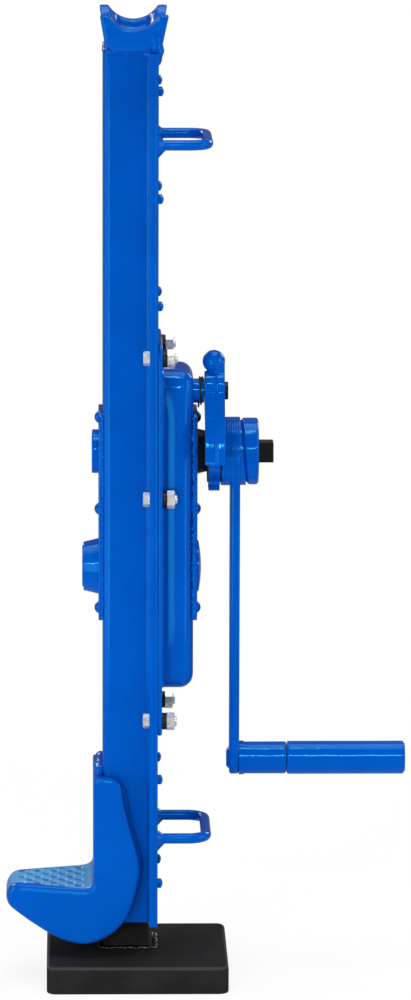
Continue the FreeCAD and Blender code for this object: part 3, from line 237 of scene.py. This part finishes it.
SLOT_MATERIAL = {"blue_paint": blue, "black_steel": black, "zinc_steel": zinc, "gear_steel": gear_steel,
                 "bush_bronze": bronze, "guide_iron": guide, "brake_lining": lining}
node_slot = {s["node"]: s["material_slot"] for s in frame["record"]["subparts"]}
OWN_MATERIAL = {"load_head": blue_cast, "lifting_claw": blue_claw, "pawl": blue_peel, "claw_weld": blue_cast,
                "crank_drum": blue_peel, "end_disc": blue_peel, "front_main_cap": blue_cast,
                "pawl_pin": black_deep, "pawl_spring": black_deep, "crank_shaft": black_gloss,
                "square_pin": black_gloss, "crank_bearing": black_deep, "spring_washers": black_deep,
                "cover_washers": black_deep, "rear_plate_rivets": rear_rivets, "base_plate": black_base}


def dress(obj, mat):
    obj.data.materials.clear()
    obj.data.materials.append(mat)


for name, obj in nodes.items():
    dress(obj, OWN_MATERIAL.get(name, SLOT_MATERIAL[node_slot[name]]))


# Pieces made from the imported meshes

node_body = {n: body for body, members in frame["record"]["behaviour"]["bodies"].items() for n in members}


def welded(node):
    """The node's mesh with its split corners joined again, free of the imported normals."""
    bm = bmesh.new()
    bm.from_mesh(nodes[node].data)
    bmesh.ops.remove_doubles(bm, verts=bm.verts, dist=2e-6)
    bm.verts.index_update()
    points = [v.co[:] for v in bm.verts]
    faces = [[v.index for v in f.verts] for f in bm.faces]
    bm.free()
    clean = bmesh.new()
    for p in points:
        clean.verts.new(p)
    clean.verts.ensure_lookup_table()
    for face in faces:
        try:
            clean.faces.new([clean.verts[i] for i in face])
        except ValueError:
            continue
    return clean


def piece(name, mesh, body, mat, stands_for=(), smooth=True):
    for poly in mesh.polygons:
        poly.use_smooth = smooth
    obj = bpy.data.objects.new(name, mesh)
    scene.collection.objects.link(obj)
    dress(obj, mat)
    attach(obj, body)
    if stands_for:
        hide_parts(*stands_for)
    return obj


def stand_in(name, node, mesh, smooth=True):
    mat = OWN_MATERIAL.get(node, SLOT_MATERIAL[node_slot[node]])
    return piece(name, mesh, node_body[node], mat, (node,), smooth)


def to_mesh(bm, name):
    mesh = bpy.data.meshes.new(name)
    bm.to_mesh(mesh)
    bm.free()
    return mesh


def baked(mesh, name, build):
    """The mesh after the modifiers that build(object) adds."""
    temp = bpy.data.objects.new(name + "_form", mesh)
    scene.collection.objects.link(temp)
    build(temp)
    out = bpy.data.meshes.new_from_object(temp.evaluated_get(bpy.context.evaluated_depsgraph_get()))
    bpy.data.objects.remove(temp)
    out.name = name
    return out


def cast_mesh(node, name, voxel, passes, form=None, weight=None):
    """Voxel copy of a node, shaped by form(point, normal) and worn round, most where weight(point) is high."""
    def skin(obj):
        mod = obj.modifiers.new("skin", "REMESH")
        mod.mode = "VOXEL"
        mod.voxel_size = voxel

    def wear(obj):
        mod = obj.modifiers.new("wear", "SMOOTH")
        mod.factor = 0.5
        mod.iterations = passes
        if weight:
            group = obj.vertex_groups.new(name="wear")
            for v in obj.data.vertices:
                group.add([v.index], weight(v.co), "REPLACE")
            mod.vertex_group = "wear"

    mesh = baked(to_mesh(welded(node), name), name, skin)
    if form:
        moved = [form(v.co.copy(), v.normal.copy()) for v in mesh.vertices]
        for v, co in zip(mesh.vertices, moved):
            v.co = co
    return baked(mesh, name, wear)


def step_up(low, high, value):
    t = min(max((value - low) / (high - low), 0.0), 1.0)
    return t * t * (3 - 2 * t)


def edged_mesh(node, name, width, form=None, turn=35.0, rings=2):
    """Copy of a sheet or block with its sharp edges broken by a small round and its flats shaded flat."""
    def even(obj):
        mod = obj.modifiers.new("even", "WEIGHTED_NORMAL")
        mod.keep_sharp = True

    bm = welded(node)
    bmesh.ops.dissolve_limit(bm, angle_limit=math.radians(0.6), verts=bm.verts, edges=bm.edges)
    if form:
        for v in bm.verts:
            v.co = form(v.co)
    sharp = [e for e in bm.edges if len(e.link_faces) == 2 and e.calc_face_angle(0.0) > math.radians(turn)]
    bmesh.ops.bevel(bm, geom=sharp, offset=width, segments=rings, profile=0.5, affect="EDGES", clamp_overlap=False)
    bmesh.ops.recalc_face_normals(bm, faces=bm.faces)
    for f in bm.faces:
        f.smooth = True
    return baked(to_mesh(bm, name), name, even)


def lathe(name, profile, y, z, steps=120):
    """Closed ring turned round an axis along X through (y, z); profile is a loop of (x, radius)."""
    points = []
    faces = []
    count = len(profile)
    for i in range(steps):
        a = 2 * math.pi * i / steps
        points += [(x, y + r * math.cos(a), z + r * math.sin(a)) for x, r in profile]
        for k in range(count):
            m = (k + 1) % count
            j = (i + 1) % steps
            faces.append((i * count + k, i * count + m, j * count + m, j * count + k))
    mesh = bpy.data.meshes.new(name)
    mesh.from_pydata(points, [], faces)
    bm = bmesh.new()
    bm.from_mesh(mesh)
    bmesh.ops.recalc_face_normals(bm, faces=bm.faces)
    bm.to_mesh(mesh)
    bm.free()
    return mesh


def stations(path, gap):
    """Points along a polyline, about gap apart, with the length run so far."""
    out = [(0.0, Vector(path[0]))]
    run = 0.0
    for a, b in zip(path, path[1:]):
        a, b = Vector(a), Vector(b)
        n = max(1, round((b - a).length / gap))
        for k in range(1, n + 1):
            out.append((run + (b - a).length * k / n, a.lerp(b, k / n)))
        run += (b - a).length
    return out


def bead_mesh(name, path, radius, out, seed, lump=0.30, ripple=0.10, pitch=0.0035, sides=12):
    """Hand-laid weld along a path: a low bead, lumpy and rippled, closed at both ends. out points off the metal."""
    line = stations(path, radius * 0.35)
    length = line[-1][0]
    out = Vector(out).normalized()
    bm = bmesh.new()
    rings = []
    for i, (run, p) in enumerate(line):
        ahead = (line[min(i + 1, len(line) - 1)][1] - line[max(i - 1, 0)][1]).normalized()
        side = ahead.cross(out).normalized()
        up = side.cross(ahead).normalized()
        end = min(min(run, length - run) / radius, 1.0)
        size = radius * max(math.sqrt(1 - (1 - end) ** 2), 0.12)
        size *= 1 + ripple * math.sin(2 * math.pi * run / pitch)
        ring = []
        for k in range(sides):
            a = 2 * math.pi * k / sides
            at = p + (side * math.cos(a) + up * math.sin(a) * 0.85) * size
            bulge = noise.noise(at * (0.55 / radius) + Vector((seed, 0, 0)))
            ring.append(bm.verts.new(p + (at - p) * (1 + lump * bulge)))
        rings.append(ring)
    for a, b in zip(rings, rings[1:]):
        for k in range(sides):
            m = (k + 1) % sides
            bm.faces.new((a[k], a[m], b[m], b[k]))
    bm.faces.new(list(reversed(rings[0])))
    bm.faces.new(rings[-1])
    bmesh.ops.recalc_face_normals(bm, faces=bm.faces)
    return to_mesh(bm, name)


def weld(name, body, path, radius, out, seed, mat=None, slot="blue_paint", **kind):
    piece(name, bead_mesh(name, path, radius, out, seed, **kind), body, mat or blue_cast)


# Head, claw and pawl: forgings with round edges

TOE_TOP = 0.0823
CLAW_FRONT = -0.0365
TOE_TIP = -0.109
TOE_ROOT_HALF = 0.0475
TOE_TIP_HALF = 0.025
DIMPLE_X = 0.0136
DIMPLE_Y = 0.0210
DIMPLE_DEPTH = 0.0018
TOE_EDGE = 0.0045
# Range of upward tilt over which the toe's painted highlight fades in
HIGHLIGHT_NORMAL = (0.30, 0.90)
RIM_FADE = 0.0015
LEAST_WEAR = 0.10


def toe_half_width(x):
    share = (x - CLAW_FRONT) / (TOE_TIP - CLAW_FRONT)
    return TOE_ROOT_HALF + (TOE_TIP_HALF - TOE_ROOT_HALF) * min(max(share, 0.0), 1.0)


def toe_dimples(mesh):
    """Grip pattern in the toe's upper face: staggered lozenges pressed in, and a painted highlight on the upward
    faces between them.
    """
    sunk = []
    highlight_share = [0.0] * len(mesh.vertices)
    for v in mesh.vertices:
        x, y, z = v.co
        if x > CLAW_FRONT or v.normal.z < HIGHLIGHT_NORMAL[0] or z < TOE_TOP - 0.014:
            continue
        side = toe_half_width(x) - abs(y)
        room = min(side - TOE_EDGE, x - TOE_TIP - 0.010, CLAW_FRONT - 0.006 - x)
        net = math.cos(2 * math.pi * x / DIMPLE_X) * math.cos(2 * math.pi * y / DIMPLE_Y)
        hole = step_up(0.0, 0.003, room) * step_up(-0.15, 0.85, net)
        share = step_up(CLAW_FRONT, TOE_TIP, x)
        rim = 0.0030 + 0.0045 * share
        upward = step_up(*HIGHLIGHT_NORMAL, v.normal.z)
        # Painted highlight: upward faces of the net turn pale, fading in past the toe's rim, none in the lozenges
        highlight_share[v.index] = upward * step_up(rim - RIM_FADE, rim + RIM_FADE, side) * (1.0 - hole)
        if v.normal.z > 0.6 and z > TOE_TOP - 0.004:
            sunk.append((v.index, z - DIMPLE_DEPTH * hole))
    for index, z in sunk:
        mesh.vertices[index].co.z = z
    mesh.attributes.new("highlight_share", "FLOAT", "POINT").data.foreach_set("value", highlight_share)


def claw_wear(co):
    """How much a point of the claw is rounded: little on the block, most on the toe's rim and tip."""
    if co.x > CLAW_FRONT - 0.002:
        return LEAST_WEAR
    rim = 1.0 - step_up(0.004, 0.020, toe_half_width(co.x) - abs(co.y))
    high = step_up(TOE_TOP - 0.030, TOE_TOP - 0.008, co.z)
    tip = 1.0 - step_up(0.004, 0.022, co.x - TOE_TIP)
    return max(LEAST_WEAR, rim * high, tip * 0.7)


HEAD_WAIST = 0.7845
HEAD_LOW = 0.774
HEAD_MID_X = -0.0033
BOWL_DEPTH = 0.0080
BOWL_HALF_X = 0.0165
BOWL_HALF_Y = 0.0400
BOWL_WALL = 0.0050


def head_form(co, normal):
    """Bowl-shaped underside that draws in towards the weld, and a saddle dished between its four horns."""
    if co.z < HEAD_LOW - 0.0004:
        return co
    t = min(max((HEAD_WAIST - co.z) / (HEAD_WAIST - HEAD_LOW), 0.0), 1.0)
    draw = 1 - math.sqrt(max(1 - t * t, 0.0))
    over = step_up(0.030, 0.040, abs(co.y))
    dish = 1 - step_up(BOWL_HALF_X - BOWL_WALL, BOWL_HALF_X, abs(co.x - HEAD_MID_X))
    dish *= 1 - step_up(BOWL_HALF_Y - BOWL_WALL, BOWL_HALF_Y, abs(co.y))
    if normal.z > 0.25:
        co.z -= BOWL_DEPTH * dish
    co.x = HEAD_MID_X + (co.x - HEAD_MID_X) * (1 - draw * (0.06 + 0.56 * over))
    co.y *= 1 - 0.10 * draw
    return co


PAWL_SPLIT_X = 0.0637
PAWL_LEDGE_Z = 0.4730
PAWL_FROM_Z = 0.4395
PAWL_TO_Z = 0.5115


def pawl_form(co, normal):
    """Near side of the pawl: a leaf beside the bar above, a sunk cheek below, with a groove between."""
    if normal.y > -0.45 or co.z > PAWL_TO_Z or co.z < PAWL_FROM_Z:
        return co
    left = 1 - step_up(PAWL_SPLIT_X - 0.0008, PAWL_SPLIT_X + 0.0004, co.x)
    below = 1 - step_up(PAWL_LEDGE_Z - 0.0007, PAWL_LEDGE_Z + 0.0007, co.z)
    groove = math.exp(-((co.x - PAWL_SPLIT_X) / 0.0007) ** 2)
    co.y += 0.0005 * left + 0.0016 * left * below + 0.0009 * groove
    return co


claw_mesh = cast_mesh("lifting_claw", "claw_forging", 0.0009, 150, None, claw_wear)
toe_dimples(claw_mesh)
stand_in("claw_forging", "lifting_claw", claw_mesh)
stand_in("head_casting", "load_head", cast_mesh("load_head", "head_casting", 0.0007, 32, head_form))
stand_in("pawl_forging", "pawl", cast_mesh("pawl", "pawl_forging", 0.0005, 6, pawl_form))

# Sheet and plate pieces with broken edges

COVER_FROM = 0.020
COVER_RUN = 0.0258
COVER_SWELL = 0.0020


def cover_form(co, normal):
    """Barrel of the pressed cover: its long sides swell between the flange and the rear face."""
    s = (co.x - COVER_FROM) / COVER_RUN
    if 0 < s < 1 and 0.020 < abs(co.y) < 0.0362:
        along = step_up(0.247, 0.290, co.z) * (1 - step_up(0.470, 0.5127, co.z))
        swell = COVER_SWELL * math.sin(math.pi * s) * along * step_up(0.020, 0.031, abs(co.y))
        co.y += math.copysign(swell, co.y)
    return co


stand_in("cover_pressing", "gear_cover", cast_mesh("gear_cover", "cover_pressing", 0.0010, 5, cover_form))

FOOT_TRIM = 0.0038
FOOT_TRIM_BELOW = 0.0475


def trimmed_foot(co):
    """Lower end of the column sheets, cut back to where it ends above the foot."""
    if co.z < FOOT_TRIM_BELOW:
        co.z += FOOT_TRIM
    return co


RIM_DEPTH = 0.003
RIM_NORMAL = (0.3, 0.95)


def mark_rim_highlight(mesh):
    """Marks the round along a block's upper edge for a painted highlight."""
    top = max(v.co.z for v in mesh.vertices)
    low, high = RIM_NORMAL
    marks = [float(v.co.z > top - RIM_DEPTH and low < v.normal.z < high) for v in mesh.vertices]
    mesh.attributes.new("highlight_share", "FLOAT", "POINT").data.foreach_set("value", marks)
    return mesh


for node, width, form in (("column_channel", 0.0005, trimmed_foot), ("back_plate", 0.0005, trimmed_foot),
                          ("front_bearing_plate", 0.0006, None), ("rear_bearing_plate", 0.0006, None),
                          ("crank_arm", 0.0018, None)):
    stand_in(node + "_edged", node, edged_mesh(node, node + "_edged", width, form))
# The round along the base's upper edge is marked for its painted highlight
stand_in("base_plate_edged", "base_plate", mark_rim_highlight(edged_mesh("base_plate", "base_plate_edged", 0.0016)))

AXLE_Y = -0.0034
CRANK_Z = 0.4417
RIM_R = 0.0262
RIM_FRONT = 0.0945
JOINT_GAP = 0.0010


def open_joint(co):
    """Rim of the end disc set back a little, so that the slanting joint shows as a dark line."""
    r = math.hypot(co.y - AXLE_Y, co.z - CRANK_Z)
    if r > RIM_R and co.x < RIM_FRONT:
        co.x += JOINT_GAP
    return co


stand_in("end_disc_edged", "end_disc", edged_mesh("end_disc", "end_disc_edged", 0.0006, open_joint))

# Turned rings round the drum

RINGS = 8
RING_PITCH = 0.00190
RING_LOW_R = 0.02803
RING_HIGH_R = 0.02835
TURNED_X = (0.0686, 0.0842)
TURNED_R = (0.0268, 0.0279)
ring_profile = [(TURNED_X[0], TURNED_R[0]), (TURNED_X[0], TURNED_R[1])]
for i in range(RINGS):
    left = 0.0690 + i * RING_PITCH
    ring_profile += [(left, RING_LOW_R), (left + 0.0004, RING_HIGH_R),
                     (left + 0.0012, RING_HIGH_R), (left + 0.0016, RING_LOW_R)]
ring_profile += [(TURNED_X[1], TURNED_R[1]), (TURNED_X[1], TURNED_R[0])]
piece("drum_turning", lathe("drum_turning", ring_profile, AXLE_Y, CRANK_Z), "crank", blue_peel)

# Welds

COLUMN_TOP = 0.774
WALL_Y = 0.034
WEB_X = -0.0286
LIP_X = 0.0135
PLATE_X = 0.0165
HANDLE_Y = 0.043
HANDLE_Z = {"upper": 0.6992, "lower": 0.1242}
for side, tag in ((-1, "near"), (1, "far")):
    y = side * WALL_Y
    weld("head_weld_" + tag, "casing",
         [(WEB_X + 0.0020, y, COLUMN_TOP + 0.0010), (LIP_X + 0.001, y, COLUMN_TOP - 0.001)],
         0.0034, (0, side, -0.6), 1.3 + side)
    weld("head_corner_weld_" + tag, "casing",
         [(PLATE_X - 0.008, side * 0.0465, COLUMN_TOP + 0.0155), (PLATE_X - 0.001, side * 0.046, COLUMN_TOP + 0.0105),
          (PLATE_X - 0.0005, side * 0.043, COLUMN_TOP + 0.002), (PLATE_X - 0.002, side * 0.040, COLUMN_TOP - 0.011)],
         0.0050, (1, side, 0), 4.1 + side, lump=0.45)
    weld("head_foot_weld_" + tag, "casing",
         [(LIP_X - 0.010, side * 0.0385, COLUMN_TOP + 0.001), (LIP_X - 0.003, side * 0.042, COLUMN_TOP - 0.001),
          (LIP_X + 0.001, side * 0.046, COLUMN_TOP - 0.005)],
         0.0036, (0, side, -0.4), 6.2 + side, lump=0.5)
weld("head_web_weld", "casing", [(WEB_X + 0.0020, y, COLUMN_TOP) for y in (-0.029, 0.029)],
     0.0026, (-1, 0, 0.3), 7.7)
weld("head_back_weld", "casing", [(PLATE_X - 0.0005, y, COLUMN_TOP) for y in (-0.040, 0.040)],
     0.0032, (1, 0, 0.2), 8.9)

# Corners under the handle legs

GUSSET = 0.0066
GUSSET_HALF_Y = 0.0026


def gusset_mesh(name, y, z):
    """Small filled corner under a handle leg: a three-cornered web with broken edges."""
    bm = bmesh.new()
    corners = ((PLATE_X - 0.0004, z - 0.0025), (PLATE_X - 0.0004, z - 0.0040 - GUSSET),
               (PLATE_X + GUSSET, z - 0.0030))
    ends = [[bm.verts.new((x, y + side * GUSSET_HALF_Y, h)) for x, h in corners] for side in (-1, 1)]
    bm.faces.new(ends[0])
    bm.faces.new(list(reversed(ends[1])))
    for k in range(3):
        m = (k + 1) % 3
        bm.faces.new((ends[0][k], ends[1][k], ends[1][m], ends[0][m]))
    bmesh.ops.recalc_face_normals(bm, faces=bm.faces)
    bmesh.ops.bevel(bm, geom=bm.edges[:], offset=0.0010, segments=2, profile=0.5, affect="EDGES")
    return to_mesh(bm, name)


for place, z in HANDLE_Z.items():
    for side, tag in ((-1, "near"), (1, "far")):
        name = "handle_gusset_%s_%s" % (place, tag)
        piece(name, gusset_mesh(name, side * HANDLE_Y, z), "casing", blue_cast)

# Claw welds: over the top against the web, and down its back edge on both walls of the column

CLAW_BACK = [(-0.0130, 0.1668), (-0.0074, 0.1373), (-0.0009, 0.1143), (0.0020, 0.1003), (0.0002, 0.0863),
             (-0.0038, 0.0703), (-0.0096, 0.0563)]
top_bead = bead_mesh("claw_top_weld", [(-0.0306, -0.0310, 0.1785), (-0.0306, 0.0310, 0.1785)],
                     0.0046, (-1, 0, 1), 11.5, lump=0.45)
piece("claw_top_weld", top_bead, "casing", blue_peel, ("claw_weld",))
weld("claw_cap_weld", "casing", [(-0.0325, -0.0340, 0.1762), (-0.0325, 0.0340, 0.1762)],
     0.0030, (-1, 0, 1), 12.8, lump=0.5)
for side, tag in ((-1, "near"), (1, "far")):
    y = side * (WALL_Y + 0.0004)
    weld("claw_side_weld_" + tag, "casing", [(x + 0.0006, y, z) for x, z in CLAW_BACK],
         0.0026, (1, side * 0.6, 0), 14.2 + side, lump=0.10, ripple=0.03)

# Fillet weld round the rear bearing plate, and round the front one

PLATE_WELD_Z = (0.306, 0.4755)
for tag, x, out, radius, lump in (("rear", 0.0462, 1, 0.0020, 0.75), ("front", -0.0289, -1, 0.0011, 0.35)):
    for side, y in (("near", -0.0306), ("far", 0.0238)):
        weld("%s_plate_weld_%s" % (tag, side), "casing", [(x, y, z) for z in PLATE_WELD_Z],
             radius, (out, math.copysign(0.8, y), 0), 20.1 + x * 100 + y * 100,
             lump=lump, ripple=0.16, pitch=0.0046, mat=blue_peel)

# Weld round the rack's foot

FOOT_X = (-0.0305, 0.0147)
FOOT_Y = (-0.0115, 0.0365)
FOOT_Z = 0.0235
foot_corners = [(FOOT_X[i], FOOT_Y[j], FOOT_Z) for i, j in ((0, 0), (1, 0), (1, 1), (0, 1), (0, 0))]
weld("rack_foot_weld", "foot", foot_corners, 0.0024, (0, 0, 1), 31.7,
     mat=black_gloss, slot="black_steel", lump=0.5, ripple=0.14, pitch=0.005)

# Floor, light and camera

MIRRORED_FLOOR = 0.20
FLOOR_HALF = 40.0


def floor_material():
    mat, g = new_material("pale_floor")
    path = g.add("ShaderNodeLightPath")
    coords = g.add("ShaderNodeTexCoord").outputs["Object"]
    diffuse = g.add("ShaderNodeBsdfDiffuse")
    tone = ramp(g, noise_at(g, coords, 3.0, 2.0), [(0.2, grey(0.93)), (0.8, grey(0.97))])
    g.link(tone, diffuse, "Color")
    glow = g.add("ShaderNodeEmission")
    level = g.add("ShaderNodeMapRange")
    level.inputs["To Min"].default_value = MIRRORED_FLOOR
    g.link(path.outputs["Is Camera Ray"], level, "Value")
    g.link(level.outputs[0], glow, "Strength")
    seen = g.add("ShaderNodeMath", operation="MAXIMUM")
    g.link(path.outputs["Is Camera Ray"], seen, 0)
    g.link(path.outputs["Is Glossy Ray"], seen, 1)
    away = g.add("ShaderNodeVectorMath", operation="LENGTH")
    g.link(coords, away, 0)
    spread = g.add("ShaderNodeMapRange", interpolation_type="SMOOTHSTEP")
    for key, value in (("From Min", 0.15), ("From Max", 1.1), ("To Min", 0.84), ("To Max", 1.0)):
        spread.inputs[key].default_value = value
    g.link(away.outputs["Value"], spread, "Value")
    share = g.add("ShaderNodeMath", operation="MULTIPLY")
    g.link(seen.outputs[0], share, 0)
    g.link(spread.outputs[0], share, 1)
    mix = g.add("ShaderNodeMixShader")
    g.link(share.outputs[0], mix, 0)
    g.link(diffuse.outputs[0], mix, 1)
    g.link(glow.outputs[0], mix, 2)
    out = g.add("ShaderNodeOutputMaterial")
    g.link(mix.outputs[0], out, "Surface")
    return mat


def make_floor():
    mesh = bpy.data.meshes.new("floor")
    r = FLOOR_HALF
    mesh.from_pydata([(-r, -r, 0), (r, -r, 0), (r, r, 0), (-r, r, 0)], [], [(0, 1, 2, 3)])
    mesh.materials.append(floor_material())
    floor = bpy.data.objects.new("floor", mesh)
    scene.collection.objects.link(floor)


def make_world():
    world = bpy.data.worlds.new("studio")
    scene.world = world
    world.use_nodes = True
    g = Graph(world.node_tree)
    path = g.add("ShaderNodeLightPath")
    room = g.add("ShaderNodeBackground")
    room.inputs["Color"].default_value = (1, 1, 1, 1)
    room.inputs["Strength"].default_value = 0.16
    white = g.add("ShaderNodeBackground")
    white.inputs["Strength"].default_value = 1.0
    way = g.add("ShaderNodeSeparateXYZ")
    g.link(g.add("ShaderNodeTexCoord").outputs["Generated"], way, 0)
    wall = g.add("ShaderNodeMapRange", interpolation_type="SMOOTHSTEP")
    for key, value in (("From Min", 0.26), ("From Max", 0.45), ("To Min", 0.10), ("To Max", 0.2)):
        wall.inputs[key].default_value = value
    g.link(way.outputs["Z"], wall, "Value")
    dim = g.add("ShaderNodeBackground")
    dim.inputs["Color"].default_value = (1, 1, 1, 1)
    g.link(wall.outputs[0], dim, "Strength")
    shiny = g.add("ShaderNodeMixShader")
    g.link(path.outputs["Is Glossy Ray"], shiny, 0)
    g.link(room.outputs[0], shiny, 1)
    g.link(dim.outputs[0], shiny, 2)
    mix = g.add("ShaderNodeMixShader")
    g.link(path.outputs["Is Camera Ray"], mix, 0)
    g.link(shiny.outputs[0], mix, 1)
    g.link(white.outputs[0], mix, 2)
    out = g.add("ShaderNodeOutputWorld")
    g.link(mix.outputs[0], out, "Surface")


def softbox(name, place, aim, size, power):
    light = bpy.data.lights.new(name, "AREA")
    light.shape = "RECTANGLE"
    light.size, light.size_y = size
    light.energy = power
    obj = bpy.data.objects.new(name, light)
    obj.location = place
    obj.rotation_euler = (Vector(aim) - Vector(place)).to_track_quat("-Z", "Y").to_euler()
    obj.visible_camera = False
    scene.collection.objects.link(obj)


def strip(name, bearing, width, power, reach=1.25, low=0.02, high=0.62):
    """Upright strip light standing near the object, bearing degrees from the front towards +X."""
    a = math.radians(bearing)
    mid = (low + high) / 2
    place = (0.05 + reach * math.sin(a), -reach * math.cos(a), mid)
    softbox(name, place, (0.05, 0, mid), (width, high - low), power)


IMAGE_H = 1000
FOCAL_PX = 6100.2
CAMERA_AIM = Vector((0.05621, 0, 0.40016))
CAMERA_DISTANCE = 5.0276
CAMERA_YAW = 0.0230
CAMERA_ROLL = 0.0030
CAMERA_PITCH = 0.1769


def make_camera():
    data = bpy.data.cameras.new("camera")
    data.sensor_fit = "VERTICAL"
    data.sensor_height = 36.0
    data.lens = FOCAL_PX / IMAGE_H * data.sensor_height
    data.clip_end = 200.0
    view = Vector((math.sin(CAMERA_YAW) * math.cos(CAMERA_PITCH), math.cos(CAMERA_YAW) * math.cos(CAMERA_PITCH),
                   -math.sin(CAMERA_PITCH)))
    cam = bpy.data.objects.new("camera", data)
    cam.location = CAMERA_AIM - view * CAMERA_DISTANCE
    turn = view.to_track_quat("-Z", "Y") @ Quaternion((0, 0, 1), CAMERA_ROLL)
    cam.rotation_euler = turn.to_euler()
    scene.collection.objects.link(cam)
    scene.camera = cam


make_floor()
make_world()
softbox("fill_right", (1.7, -3.0, 1.7), (0, 0, 0.4), (0.5, 1.4), 5)
softbox("side_left", (-2.8, -1.0, 1.3), (0, 0, 0.4), (1.0, 2.0), 12)
softbox("side_right", (2.9, -0.5, 1.3), (0, 0, 0.4), (0.9, 2.0), 15)
softbox("top_panel", (0, 0.1, 2.7), (0, 0, 0.3), (2.2, 2.0), 40)
softbox("glint_top", (0.05, -0.45, 2.6), (0.05, 0, 0.5), (0.30, 0.30), 4)
softbox("glint_left", (-1.3, -2.6, 1.40), (0.1, 0, 0.51), (0.25, 0.25), 9)
softbox("glint_front", (0.25, -2.7, 1.42), (0.1, 0, 0.44), (0.45, 0.18), 11)
softbox("glint_right", (2.6, -1.5, 1.4), (0.07, 0, 0.44), (0.26, 0.26), 8)
softbox("back_left", (-1.6, 2.8, 1.7), (0, 0, 0.4), (1.0, 1.2), 16)
softbox("back_right", (2.2, 2.4, 1.7), (0, 0, 0.4), (1.0, 1.2), 22)
strip("strip_left", -26, 0.75, 4.8)
strip("strip_far_left", -72, 0.45, 2.0)
strip("strip_right", 62, 0.22, 1.6)
make_camera()
